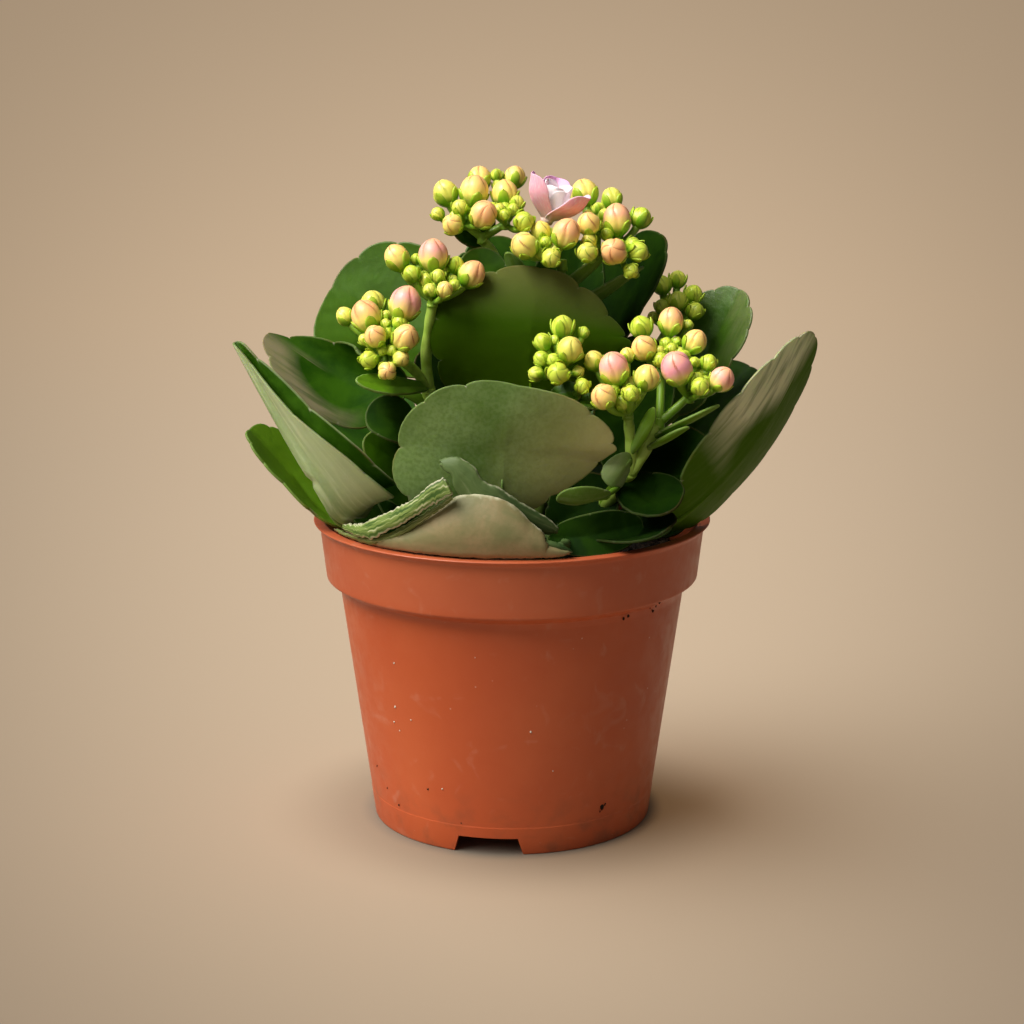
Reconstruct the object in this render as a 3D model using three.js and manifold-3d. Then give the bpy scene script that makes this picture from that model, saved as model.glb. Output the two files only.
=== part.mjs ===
// Potted kalanchoe: a tapered nursery pot filled with soil, leafy shoots whose thick leaves have
// scalloped edges, heads of closed buds on short stalks, and one bloom that has begun to open.
// Millimetres, +Z up. Every place below is measured from the pot's axis, on the surface it stands on.
import * as THREE from 'three';
import { mergeVertices } from 'three/addons/utils/BufferGeometryUtils.js';
import Module from 'manifold-3d';

const wasm = await Module();
wasm.setup();

// ---------------------------------------------------------------------------------------------
// Driving dimensions
// ---------------------------------------------------------------------------------------------

const GAP = 0.3; // clearance kept between pieces that touch
const POT_AXIS = new THREE.Vector3(-4.4, -6.2, 0); // pot's axis from the middle of the whole plant

const POT = {
  height: 70,
  lipRadius: 45, // outer radius of the rolled lip
  lipDepth: 1.3,
  bandTop: 43.6, // outer radius of the band just under the lip
  bandFoot: 42.25, // outer radius of the band's lower edge
  bandFootZ: 57,
  wallTop: 39.07, // outer radius of the tapered wall where it meets the band
  wallTopZ: 53.4,
  footRadius: 31.85,
  wall: 1.3,
  footWidth: 2.4, // width of the ring that the pot stands on
  floorZ: 4, // underside of the raised floor
  floorThickness: 1.4,
  facets: 36,
};
const NOTCH = { count: 3, width: 15.5, height: 3.9, slant: 1.1, bearing: -99.6 }; // slots in the foot ring
const DRAIN = { radius: 3, circle: 18, count: 6 };
const SOIL = { topZ: 60, mound: 1.4, ring: 26, facets: 24 };

const LOBED = 2.3; // radians either side of a leaf's tip that carry scallops
const LOBE_STEPS = [0.5, 1]; // places along each scallop: its crown and its notch
const BASE_ANGLES = [2.75]; // plain part of the outline, next to the leaf's stalk
const SMALL_BLADE = 6.6; // half width up to which a blade gets no ring of points inside its margin
const MARGIN_THINNING = 0.45; // share of a blade's thickness lost towards its margin
const STALK_STEPS = 3;
const KEEL_REACH = 0.1; // how far along the blade the stalk runs on as a raised midrib

// ---------------------------------------------------------------------------------------------
// Shoots: each is one stem with the flower stalks that it carries
// ---------------------------------------------------------------------------------------------

const SHOOTS = {
  stem_centre: [
    { points: [[1, 3, 47], [1, 3, 75], [2, 3, 98], [4, 2, 114]], radii: [2.7, 1.7] },
    { points: [[3.4, 2, 111], [1, 1, 120], [-4, -1, 129], [-6.5, -2, 132.5]], radii: [1.3, 1.1] },
    { points: [[3.4, 2, 111], [7, 0, 118], [10, -4, 124], [11, -6.5, 127]], radii: [1.3, 1.1] },
    { points: [[7, 0, 118], [12, -1, 122], [17, -2.5, 127], [19, -3.5, 129.5]], radii: [1.1, 1] },
  ],
  stem_left: [
    { points: [[-7, -2, 47], [-10, -5, 70], [-16, -9, 88], [-18.5, -11.5, 101]], radii: [2.3, 1.5] },
    {
      points: [[-18.3, -11.4, 100], [-18.8, -12, 108], [-18, -13, 115], [-17.3, -14, 120]],
      radii: [1.3, 1.1],
    },
    {
      points: [[-18.3, -11.4, 100], [-21, -14, 105], [-25, -18, 109], [-27.3, -20, 111.5]],
      radii: [1.2, 1],
    },
  ],
  stem_middle: [
    { points: [[4, -5, 47], [6, -9, 72], [9.5, -18, 90], [11.6, -24, 102]], radii: [2, 1.2] },
  ],
  stem_right: [
    { points: [[10, -3, 47], [13, -8, 66], [20, -18.5, 76], [25.6, -25, 85]], radii: [2.2, 1.5] },
    {
      points: [[25.4, -24.8, 84.5], [25.6, -25.6, 89], [25.2, -26, 94], [24.8, -26, 97.5]],
      radii: [1.25, 1.1],
    },
    {
      points: [[25.4, -24.8, 84.5], [28, -24.6, 88.5], [30.3, -24.2, 92.5], [31.5, -24, 95]],
      radii: [1.35, 1.2],
    },
  ],
  stem_back_right: [
    { points: [[9, 7, 47], [13, 10, 70], [26, 15, 94], [36.4, 17, 110]], radii: [2.1, 1.1] },
  ],
  stem_back: [
    { points: [[0, 12, 47], [0, 19, 72], [-3, 27, 96], [-5, 30, 112]], radii: [2.2, 1.2] },
  ],
};

// ---------------------------------------------------------------------------------------------
// Leaves: stalk root, blade's neck, belly and tip along the midrib; face is the way the upper side
// looks, half the half width, crease the fold at the midrib, fold the lift of each side's margin
// ---------------------------------------------------------------------------------------------

const LEAVES = {
  leaf_front_centre: {
    shoot: 'stem_middle', root: [5, -7.5, 68], neck: [-8, -27, 69.5],
    belly: [-2, -36, 91], tip: [2, -33.5, 105.5],
    face: [0, 1, 0.3], half: 26, lobes: 4, depth: 0.05, egg: -0.05, fold: [0.1, 0.2],
  },
  leaf_left_long: {
    shoot: 'stem_left', root: [-9.9, -5, 69], neck: [-25, -20, 67],
    belly: [-41, -22, 86.5], tip: [-59.5, -14, 109.7],
    face: [0.85, 0.1, 0.5], half: 9, lobes: 4, depth: 0.07, egg: -0.2, crease: 1.2, fold: [0.1, 0.1], twist: -1.2,
  },
  leaf_left_low: {
    shoot: 'stem_left', root: [-9, -4, 65.5], neck: [-34, -11, 72],
    belly: [-48, -9, 82], tip: [-59, -8, 91],
    face: [0.6, -0.4, 0.7], half: 9, lobes: 4, depth: 0.08,
  },
  leaf_left_mid: {
    shoot: 'stem_left', root: [-17.5, -10.5, 96], neck: [-22, -11, 98],
    belly: [-38.5, -6.5, 100.5], tip: [-53.8, -1, 109.6],
    face: [0.6, -0.7, 0.3], half: 12.5, lobes: 4, depth: 0.07, fold: [0.15, 1.1],
  },
  leaf_back_left: {
    shoot: 'stem_centre', root: [1.2, 3, 84], neck: [-17, 6, 102],
    belly: [-29, 10, 115], tip: [-39, 12, 125.5],
    face: [0.4, -0.8, 0.4], half: 15.5, lobes: 4, depth: 0.06,
  },
  leaf_centre: {
    shoot: 'stem_centre', root: [1.4, 3, 90], neck: [4, -8, 91], belly: [4, -17, 112], tip: [6, -12, 127.5],
    face: [0, 1, 0.3], half: 22.8, lobes: 5, depth: 0.07, egg: -0.05,
  },
  leaf_right_back: {
    shoot: 'stem_centre', root: [2.2, 3, 101], neck: [19, 10, 104],
    belly: [27.5, 14, 118.5], tip: [34, 15, 132],
    face: [-0.75, -0.5, 0.4], half: 12, lobes: 4, depth: 0.05,
  },
  leaf_right: {
    shoot: 'stem_back_right', root: [17, 11.6, 79], neck: [38, 13, 91],
    belly: [46.8, 16, 107], tip: [52.5, 17.5, 119],
    face: [-0.6, -0.7, 0.4], half: 10, lobes: 4, depth: 0.07,
  },
  leaf_right_far: {
    shoot: 'stem_right', root: [12.9, -7.9, 66], neck: [34, -21.5, 71],
    belly: [50, -15, 89.5], tip: [67.5, -4, 111.5],
    face: [-0.6, 0.6, 0.45], half: 16, lobes: 5, depth: 0.05, crease: 0.1, fold: [0.1, 0.1],
  },
  leaf_right_rear: {
    shoot: 'stem_back_right', root: [12.4, 9.4, 67], neck: [36, 14, 80],
    belly: [48, 20, 92], tip: [56, 25, 100],
    face: [-0.4, -0.7, 0.6], half: 9, lobes: 3, depth: 0.06,
  },
  leaf_right_spoon: {
    shoot: 'stem_right', root: [19.5, -18, 75.5], neck: [21, -24, 77],
    belly: [29, -30, 78.5], tip: [36.5, -31, 80.5],
    face: [0, -0.35, 0.9], half: 10, lobes: 2, depth: 0.03,
  },
  leaf_right_shade: {
    shoot: 'stem_middle', root: [5.5, -7.6, 64.5], neck: [18, -21, 67.5],
    belly: [26, -31, 71.5], tip: [35, -33, 76],
    face: [0.1, -0.2, 0.9], half: 8.5, lobes: 3, depth: 0.05,
  },
  leaf_left_shade: {
    shoot: 'stem_left', root: [-17, -10, 93], neck: [-20, -19, 92.5],
    belly: [-25.5, -25, 96], tip: [-31, -26, 98.5],
    face: [0.2, -0.8, 0.5], half: 5.4, lobes: 2, depth: 0.04,
  },
  leaf_left_under: {
    shoot: 'stem_left', root: [-12.6, -6.9, 77], neck: [-15, -16, 80.5],
    belly: [-20, -21.5, 85], tip: [-26.5, -24.5, 89.5],
    face: [0.4, -0.8, 0.4], half: 5.5, lobes: 2, depth: 0.04,
  },
  leaf_crown: {
    shoot: 'stem_centre', root: [3.2, 2.2, 109], neck: [-2, -4, 114],
    belly: [-6, -7, 123], tip: [-8, -6, 131],
    face: [0.2, -0.8, 0.5], half: 6.2, lobes: 2, depth: 0.04,
  },
  leaf_small_tip: {
    shoot: 'stem_right', root: [24, -23, 82.5], neck: [20.5, -34, 82.5],
    belly: [15, -38, 82.3], tip: [9.5, -38.5, 82.4],
    face: [0, 0.4, 0.9], half: 3.6, lobes: 2, depth: 0.04,
  },
  leaf_small_oval: {
    shoot: 'stem_right', root: [24.8, -24, 84.5], neck: [24.6, -28, 89],
    belly: [22.3, -30, 86.3], tip: [20.5, -31, 83.6],
    face: [-0.3, 0.8, 0.3], half: 3.4, lobes: 1, depth: 0,
  },
  leaf_back_centre: {
    shoot: 'stem_back', root: [-0.4, 20, 76], neck: [3, 28, 80], belly: [7, 43, 93], tip: [9, 48, 111],
    face: [0, -1, 0.35], half: 20, lobes: 5, depth: 0.06,
  },
  leaf_back_right_low: {
    shoot: 'stem_back_right', root: [11.8, 9.2, 65.5], neck: [19, 26, 69],
    belly: [25, 39, 75], tip: [29, 51, 83],
    face: [-0.5, -0.7, 0.7], half: 14, lobes: 4, depth: 0.06,
  },
  leaf_back_left_low: {
    shoot: 'stem_back', root: [0, 18, 70], neck: [-22, 23, 73], belly: [-36, 32, 83], tip: [-46, 38, 95],
    face: [0.6, -0.7, 0.6], half: 16, lobes: 4, depth: 0.06,
  },
  leaf_back_low: {
    shoot: 'stem_back', root: [0, 16, 65], neck: [-5, 32, 71], belly: [-8, 46, 75], tip: [-11, 57, 82],
    face: [0.1, -0.5, 0.9], half: 13, lobes: 4, depth: 0.06,
  },
  leaf_back_upper: {
    shoot: 'stem_back', root: [-2.6, 26, 93], neck: [8, 32, 98], belly: [18, 37, 108], tip: [25, 39, 119],
    face: [-0.5, -0.7, 0.6], half: 12, lobes: 4, depth: 0.06,
  },
  leaf_back_high: {
    shoot: 'stem_centre', root: [1.2, 3, 98], neck: [-1, 11, 102],
    belly: [-3.5, 18, 116], tip: [-5, 20, 131],
    face: [0.1, -0.8, 0.5], half: 11.5, lobes: 4, depth: 0.06,
  },
  leaf_back_inner: {
    shoot: 'stem_centre', root: [1, 3, 78], neck: [8, 13, 82], belly: [11.5, 21, 92], tip: [12, 27, 104],
    face: [-0.3, -0.8, 0.5], half: 10.5, lobes: 3, depth: 0.06,
  },
  leaf_left_rear: {
    shoot: 'stem_centre', root: [1, 3, 70], neck: [-22, 10, 80], belly: [-35, 14, 91], tip: [-44, 17, 102],
    face: [0.6, -0.2, 0.7], half: 12, lobes: 4, depth: 0.06,
  },
};

// A leaf at the front that snapped and lies along the rim, with the torn layers that hang on it
const BROKEN_LEAF = [
  {
    root: [6, -9, 69], neck: [13, -39.7, 72.5], belly: [-10, -42, 78], tip: [-39.5, -28, 73],
    face: [0.1, 1, 0.1], half: 7.6, lobes: 3, depth: 0.1, egg: -0.25, crease: 0.05,
  },
  {
    root: [16, -37, 72], neck: [10, -39.5, 75.5], belly: [-2, -39.5, 81.5], tip: [-14.5, -36, 88],
    face: [0.1, 0.8, 0.6], half: 4.5, lobes: 2, depth: 0.08, crease: 0.05,
  },
  {
    root: [-42, -20, 74], neck: [-37, -29.5, 74.5], belly: [-24.5, -40.5, 79.2], tip: [-13.2, -44.5, 86.6],
    face: [0.2, 1, 0.3], half: 1.5, lobes: 1, depth: 0, thickness: 1.6,
  },
];

// Narrow bracts that hold together with the stem they grow on
const BRACTS = {
  stem_left: [
    { root: [-18, -9, 101], neck: [-18.6, -12.5, 101.5], belly: [-25, -24, 103.2], tip: [-33, -28.5, 105.5],
      face: [0, -0.1, 1], half: 3, lobes: 1, depth: 0 },
  ],
  stem_centre: [
    { root: [4, 2, 113], neck: [7.4, -0.2, 118.5], belly: [14, -5, 123.5], tip: [21, -7.5, 130],
      face: [-0.3, 0.3, 0.9], half: 3.2, lobes: 1, depth: 0 },
    { root: [2, 2, 110], neck: [4, 1.8, 112], belly: [18, 0, 118.5], tip: [29, -3, 126.5],
      face: [-0.4, 0.2, 0.9], half: 5, lobes: 2, depth: 0.04 },
    { root: [1, 3, 118], neck: [0.8, 0.6, 120.5], belly: [1.6, -6, 124.5], tip: [-1, -9.5, 130.5],
      face: [0.3, 0.8, 0.4], half: 2.2, lobes: 1, depth: 0 },
  ],
  stem_right: [
    { root: [28, -23, 90], neck: [30.4, -24.4, 92.5], belly: [37.5, -27.5, 96.5], tip: [44, -28, 100],
      face: [-0.3, 0.2, 0.9], half: 2.2, lobes: 1, depth: 0 },
    { root: [27.5, -23, 88], neck: [29, -24.8, 90], belly: [33.5, -28, 93], tip: [37.5, -29, 95.5],
      face: [-0.2, 0.3, 0.9], half: 1.8, lobes: 1, depth: 0 },
    { root: [25, -23, 86], neck: [25.6, -25.8, 89], belly: [28, -29.5, 95], tip: [30, -31, 100],
      face: [0.5, 0.8, 0], half: 1.5, lobes: 1, depth: 0 },
  ],
};

// ---------------------------------------------------------------------------------------------
// Flower heads: hubs where the stalks part, then each bud as place, radius and ripeness
// ---------------------------------------------------------------------------------------------

const RIPENESS = { green: 1.02, yellow: 1.08, peach: 1.12, pink: 1.16 }; // bud's height over its width
const BUD = { outline: [[0, -1], [0.9, -0.5], [0.88, 0.42], [0, 1.1]], facets: 6, lift: 0.6, seat: 0.7 };
const BUD_STALK = [0.4, 0.6]; // radii at the hub and at the bud
const BRANCH = [0.9, 0.8]; // radii of the link between two hubs
const BLOOM_STALK = [0.6, 0.8];
const KNOB = { first: 1.7, other: 1.4, facets: 6 }; // half sizes of the swellings at the hubs

const HEADS = {
  head_top_left: {
    hubs: [[-6.5, -2, 133], [-10.5, -1.5, 136], [-1.5, -1.5, 136]],
    buds: [
      [-14.6, 0, 142.4, 2.8, 'yellow'], [-16.2, -4, 138.3, 1.5, 'green'], [-12.9, -7.5, 136.3, 2.3, 'yellow'],
      [-7.3, 5.5, 145.1, 2.7, 'yellow'], [-8.4, -0.5, 142.8, 3.2, 'peach'], [-11.4, -4.6, 139.7, 1.8, 'green'],
      [-6.3, -8, 138.5, 3, 'peach'], [-1.6, 0.5, 142.2, 2.9, 'yellow'], [-3.4, 5.5, 146, 1.4, 'green'],
      [0.6, 6.5, 145.4, 2.4, 'yellow'], [-1.6, -7, 138.4, 1.3, 'green'], [2.5, -10.5, 137.3, 2.2, 'green'],
    ],
  },
  head_top_centre: {
    hubs: [[11, -6.5, 127.5], [7.4, -8.6, 129.5]],
    buds: [
      [6.3, -10, 135, 2.2, 'yellow'], [2.8, -14, 132.4, 2.9, 'yellow'], [11.6, -12.5, 134.8, 3.1, 'peach'],
      [8.4, -15.5, 130, 2.1, 'green'],
    ],
  },
  head_top_right: {
    hubs: [[19, -3.5, 130], [23.5, -5, 132]],
    buds: [
      [16.7, -9.5, 136.6, 2.5, 'yellow'], [16.2, 5.5, 141.8, 3.1, 'yellow'], [22.2, 3, 140.9, 2.4, 'yellow'],
      [23, -5, 137, 3.2, 'peach'], [28.3, -2, 137.2, 2.3, 'green'], [16.7, -10.5, 133, 1.7, 'green'],
      [16.2, -14, 131, 2.2, 'green'], [22.1, -12, 131, 2.9, 'peach'], [27.4, -9, 130.6, 2.2, 'green'],
      [25.8, -11.5, 126.8, 1.7, 'green'],
    ],
  },
  head_left_upper: {
    hubs: [[-17.3, -14, 120.5]],
    buds: [
      [-24.8, -13, 129.6, 2.8, 'yellow'], [-20.8, -10, 129, 1.3, 'green'], [-17, -14, 130.2, 3.2, 'peach'],
      [-12.3, -12.5, 128, 1.9, 'green'], [-8.8, -15, 126.3, 2.8, 'peach'], [-21.6, -15, 126.4, 1.9, 'green'],
      [-14.4, -21, 123.8, 1.8, 'yellow'], [-15.5, -6, 127.5, 2.2, 'yellow'],
    ],
  },
  head_left_lower: {
    hubs: [[-27.3, -20, 112]],
    buds: [
      [-35.9, -17, 117.5, 2, 'yellow'], [-30.2, -12.5, 119.6, 2.7, 'yellow'], [-31.2, -19.5, 117.8, 3.2, 'peach'],
      [-22.9, -21.5, 120.7, 3.4, 'pink'], [-23.9, -23, 117, 1.7, 'green'], [-29, -25.4, 114.4, 2.4, 'yellow'],
      [-22.7, -27, 114.4, 2.8, 'yellow'], [-23.6, -27, 110, 1.8, 'yellow'], [-26.4, -29.5, 107.8, 2, 'yellow'],
      [-30.4, -26, 109.6, 2, 'green'],
    ],
  },
  head_middle: {
    hubs: [[11.6, -24, 102.5], [10.6, -25, 108]],
    buds: [
      [10.8, -23.5, 116.1, 2.4, 'green'], [6.6, -25.5, 113.2, 1.9, 'green'], [12.2, -28.5, 112, 2.7, 'yellow'],
      [15.2, -22.5, 114.8, 1.3, 'green'], [9.7, -31, 107.4, 2.4, 'green'], [5.2, -28, 106.8, 1.7, 'green'],
      [14, -27.5, 107.2, 1.3, 'green'], [14.8, -30.5, 104.6, 1.7, 'green'],
    ],
  },
  head_right_front: {
    hubs: [[24.8, -26, 98]],
    buds: [
      [17.6, -25, 109, 2.1, 'yellow'], [21.6, -29.5, 108, 3.3, 'peach'], [24.6, -23.5, 110, 1.6, 'yellow'],
      [19.4, -33.5, 102.8, 2.7, 'yellow'], [25, -33.5, 103.5, 1.8, 'green'], [28.4, -30, 106.2, 2.7, 'yellow'],
    ],
  },
  head_right: {
    hubs: [[31.7, -24, 95.5], [38, -22.5, 101], [32.5, -17, 107]],
    buds: [
      [28, -17.5, 115.2, 2.4, 'green'], [28.3, -22.5, 111.4, 2.7, 'yellow'], [34.3, -16.5, 116.2, 2.8, 'peach'],
      [39.2, -19.5, 112.3, 2.6, 'yellow'], [38.2, -14, 115.2, 1.2, 'green'], [35, -28, 107.8, 3.4, 'pink'],
      [39, -24, 108.6, 1.2, 'green'], [42, -23.5, 108.4, 1.8, 'green'], [44.5, -27, 105.4, 2.6, 'peach'],
      [39.8, -30, 104.4, 2, 'green'],
    ],
  },
  head_back_right: {
    hubs: [[36.6, 17, 110.5]],
    buds: [
      [34.6, 18, 119.8, 2, 'green'], [38.2, 19, 121, 2, 'green'], [41.6, 16.5, 117.8, 2, 'green'],
      [38, 14.5, 116.6, 2, 'green'], [41.8, 12.5, 114.6, 2, 'green'], [34.3, 14, 115.4, 1.3, 'green'],
      [32.6, 15.5, 112.8, 1.4, 'green'],
    ],
  },
  head_back: {
    hubs: [[-5, 30, 112.5], [-9, 32, 116]],
    buds: [
      [-5, 31, 123, 3, 'peach'], [-11, 29, 120.5, 2.6, 'yellow'], [0.6, 31, 120, 2.6, 'yellow'],
      [-8.4, 37, 121, 2.8, 'yellow'], [-1.6, 37, 118.2, 2.4, 'green'], [-14.6, 34.5, 118.4, 2.3, 'green'],
      [-6, 25.5, 118.6, 2, 'green'], [3.4, 34.6, 115.4, 1.8, 'green'], [-12, 38.5, 116, 1.9, 'green'],
    ],
  },
};

// The bloom: petals in three layers round one axis, leaning out layer by layer
const BLOOM = {
  head: 'head_top_centre',
  seat: [7.4, -4.4, 136.2],
  axis: [0.3, -0.1, 1],
  layers: [
    { count: 3, lean: 0.2, length: 8.4, half: 2.9, turn: 0.25 },
    { count: 3, lean: 0.66, length: 11.2, half: 4, turn: 0.75 },
  ],
  throat: 0.8, // distance from the axis at which the petals rise
  cup: [[0, 0], [1.3, 0.2], [1.5, 1.6], [0.9, 3], [0, 3.4]], // outline of the calyx tube
};

const COLOURS = {
  pot: '#b5532f', soil: '#2b1d14', stem: '#8fae52', leaf: '#2f6a22', leafPale: '#7d9a6c',
  bud: '#c9c75a', bloom: '#e3a3b8',
};

// ---------------------------------------------------------------------------------------------
// Solids and meshes
// ---------------------------------------------------------------------------------------------

const vec = (place) => new THREE.Vector3(...place);

/** Turns a closed geometry into a solid that can be joined and cut. */
function toSolid(geometry) {
  const bare = geometry.clone();
  bare.deleteAttribute('normal');
  bare.deleteAttribute('uv');
  const welded = mergeVertices(bare, 1e-4);
  const vertProperties = Float32Array.from(welded.attributes.position.array);
  const triVerts = Uint32Array.from(welded.index.array);
  return new wasm.Manifold(new wasm.Mesh({ numProp: 3, vertProperties, triVerts }));
}

/** Turns a solid back into a geometry. */
function toGeometry(solid) {
  const { numProp, vertProperties, triVerts } = solid.getMesh();
  const positions = new Float32Array((vertProperties.length / numProp) * 3);
  for (let i = 0; i < positions.length / 3; i += 1) {
    positions.set(vertProperties.slice(i * numProp, i * numProp + 3), i * 3);
  }
  const geometry = new THREE.BufferGeometry();
  geometry.setAttribute('position', new THREE.BufferAttribute(positions, 3));
  geometry.setIndex(new THREE.BufferAttribute(Uint32Array.from(triVerts), 1));
  geometry.computeVertexNormals();
  return geometry;
}

const join = (solids) => solids.reduce((whole, solid) => whole.add(solid));

/** The largest body of a solid, without the scraps that a cut left loose. */
function largest(solid) {
  const bodies = solid.decompose();
  return bodies.reduce((best, body) => (body.volume() > best.volume() ? body : best));
}

/** Closed skin over a row of point rings, with a fan over each end. */
function skin(rings) {
  const sides = rings[0].length;
  const centre = (ring) => ring.reduce((sum, p) => sum.add(p), new THREE.Vector3()).divideScalar(sides);
  const points = [...rings.flat(), centre(rings[0]), centre(rings.at(-1))];
  const [first, last] = [points.length - 2, points.length - 1];
  const faces = [];
  for (let side = 0; side < sides; side += 1) {
    const next = (side + 1) % sides;
    faces.push([first, next, side]);
    for (let ring = 0; ring < rings.length - 1; ring += 1) {
      const [low, high] = [ring * sides, (ring + 1) * sides];
      faces.push([low + side, low + next, high + next], [low + side, high + next, high + side]);
    }
    const top = (rings.length - 1) * sides;
    faces.push([last, top + side, top + next]);
  }
  return closedGeometry(points, faces);
}

/** Geometry from points and the triangles between them. */
function closedGeometry(points, faces) {
  const geometry = new THREE.BufferGeometry().setFromPoints(points);
  geometry.setIndex(faces.flat());
  return geometry;
}

/** Tube of changing radius along a curve; stretch adds length past its far end. */
function tube(points, radii, { sides = 6, steps = 6, swell = 0, stretch = 0 } = {}) {
  const curve = new THREE.CatmullRomCurve3(points.map(vec), false, 'catmullrom', 0.5);
  const rings = [];
  for (let step = 0; step <= steps; step += 1) {
    const share = step / steps;
    const along = curve.getTangent(share);
    const right = new THREE.Vector3(0, 1, 0).cross(along).normalize();
    const front = along.clone().cross(right);
    const radius = THREE.MathUtils.lerp(radii[0], radii[1], share) + swell;
    const middle = curve.getPoint(share).addScaledVector(along, step === steps ? stretch : 0);
    rings.push(circle(middle, right, front, radius, sides));
  }
  return skin(rings);
}

/** Ring of points on a circle spanned by two unit vectors. */
function circle(middle, right, front, radius, sides) {
  return Array.from({ length: sides }, (_, side) => {
    const angle = (2 * Math.PI * side) / sides;
    return middle.clone()
      .addScaledVector(right, radius * Math.cos(angle))
      .addScaledVector(front, radius * Math.sin(angle));
  });
}

// ---------------------------------------------------------------------------------------------
// Leaf blades
// ---------------------------------------------------------------------------------------------

/** Angles round a blade's outline: the tip, each scallop's shoulders and notch, and the base. */
function outlineAngles(lobes) {
  const side = [];
  for (let lobe = 0; lobe < lobes; lobe += 1) {
    LOBE_STEPS.forEach((step) => side.push(((lobe + step) * LOBED) / lobes));
  }
  side.push(...BASE_ANGLES);
  return [0, ...side, Math.PI, ...side.toReversed().map((angle) => -angle)];
}

/** Outline of a scalloped blade at an angle from its tip: [along, across], each from -1 to 1. */
function outlineAt(angle, { lobes, depth, egg = 0.1 }) {
  const lobe = (Math.abs(angle) / LOBED) * lobes;
  const into = lobe - Math.floor(lobe + 1e-6);
  const arch = Math.sqrt(Math.max(Math.sin(Math.PI * into), 0));
  const notch = Math.abs(angle) <= LOBED + 1e-6 ? (1 - arch) * THREE.MathUtils.clamp(2 * lobe, 0.35, 1) : 0;
  const reach = 1 - depth * notch;
  const base = ((1 - Math.cos(angle)) / 2) ** 4;
  const across = Math.sin(angle) * (1 + egg * Math.cos(angle)) * (1 - 0.25 * base);
  return [reach * Math.cos(angle), reach * across];
}

/** Maps a leaf's own coordinates, along the midrib and across it, to its bent surface. */
class LeafSurface {
  constructor(leaf) {
    this.leaf = { crease: 0.15, fold: [0.15, 0.15], twist: 0, thickness: 1.4, ...leaf };
    const points = [leaf.root, leaf.neck, leaf.belly, leaf.tip].map(vec);
    this.midrib = new THREE.CatmullRomCurve3(points, false, 'catmullrom', 0.5);
  }

  /** Midrib frame at a share of the whole leaf: point, along, up (upper side) and side. */
  frame(share, turn = 0) {
    const t = THREE.MathUtils.clamp(share, 0, 1);
    const along = this.midrib.getTangent(t);
    const face = vec(this.leaf.face);
    const up = face.addScaledVector(along, -face.dot(along)).normalize();
    up.applyAxisAngle(along, turn);
    return { point: this.midrib.getPoint(t), along, up, side: along.clone().cross(up) };
  }

  /** Point of the blade's middle surface: a runs from neck to tip, b across from -1 to 1. */
  at(a, b) {
    const { half, crease, fold, twist } = this.leaf;
    const { point, up, side } = this.frame((1 + 2 * a) / 3, twist * a);
    const width = Math.abs(b);
    const lift = crease * Math.min(width / 0.25, 1) + (b > 0 ? fold[1] : fold[0]) * width;
    return point
      .addScaledVector(side, b * Math.cos(lift) * half)
      .addScaledVector(up, width * Math.sin(lift) * half);
  }

  /** Unit normal of the upper side. */
  normal(a, b) {
    const step = 1e-3;
    const along = this.at(a + step, b).sub(this.at(a - step, b));
    const across = this.at(a, b + step).sub(this.at(a, b - step));
    return across.cross(along).normalize();
  }
}

/** Solid blade: rings of points round its middle, the same on both sides, closed at the margin. */
function blade(leaf) {
  const surface = new LeafSurface(leaf);
  const angles = outlineAngles(leaf.lobes);
  const count = angles.length;
  const rings = leaf.half > SMALL_BLADE ? [0.5, 1] : [1];
  const places = [[0.5, 0, 0]];
  for (const ring of rings) {
    for (const angle of angles) {
      const [along, across] = outlineAt(angle, surface.leaf);
      places.push([0.5 + 0.5 * ring * along, ring * across, ring]);
    }
  }
  const skinAt = (way) => places.map(([a, b, ring]) => {
    const depth = 0.5 * surface.leaf.thickness * (1 - MARGIN_THINNING * ring ** 3);
    return surface.at(a, b).addScaledVector(surface.normal(a, b), way * depth);
  });
  const faces = [];
  const under = places.length;
  const both = (p, q, r) => faces.push([p, q, r], [p + under, r + under, q + under]);
  for (let i = 0; i < count; i += 1) {
    let [p, q] = [1 + i, 1 + ((i + 1) % count)];
    both(0, q, p);
    for (let ring = 1; ring < rings.length; ring += 1) {
      both(p, q + count, p + count);
      both(p, q, q + count);
      [p, q] = [p + count, q + count];
    }
    faces.push([p, q + under, p + under], [p, q, q + under]);
  }
  return closedGeometry([...skinAt(1), ...skinAt(-1)], faces);
}

/** Leaf stalk that runs on under the blade as its raised midrib. */
function stalk(leaf, radii) {
  const surface = new LeafSurface(leaf);
  const end = (1 + 2 * KEEL_REACH) / 3;
  const rings = [];
  for (let step = 0; step <= STALK_STEPS; step += 1) {
    const share = (end * step) / STALK_STEPS;
    const { point, up, side } = surface.frame(share, surface.leaf.twist * Math.max(1.5 * share - 0.5, 0));
    const sunk = share > 1 / 3 ? 0.6 * surface.leaf.thickness : 0;
    point.addScaledVector(up, -sunk);
    rings.push(circle(point, side.negate(), up, THREE.MathUtils.lerp(radii[0], radii[1], share / end), 5));
  }
  return skin(rings);
}

/** Blade and stalk in one. */
function leafSolid(leaf) {
  const radii = leaf.half > SMALL_BLADE ? [1.6, 0.9] : [0.9, 0.6];
  return toSolid(blade(leaf)).add(toSolid(stalk(leaf, radii)));
}

// ---------------------------------------------------------------------------------------------
// Pot and soil
// ---------------------------------------------------------------------------------------------

/** Solid of revolution about +Z from [radius, height] pairs. */
function turned(profile, facets) {
  const lathe = new THREE.LatheGeometry(profile.map(([r, z]) => new THREE.Vector2(r, z)), facets);
  return lathe.rotateX(Math.PI / 2);
}

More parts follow.
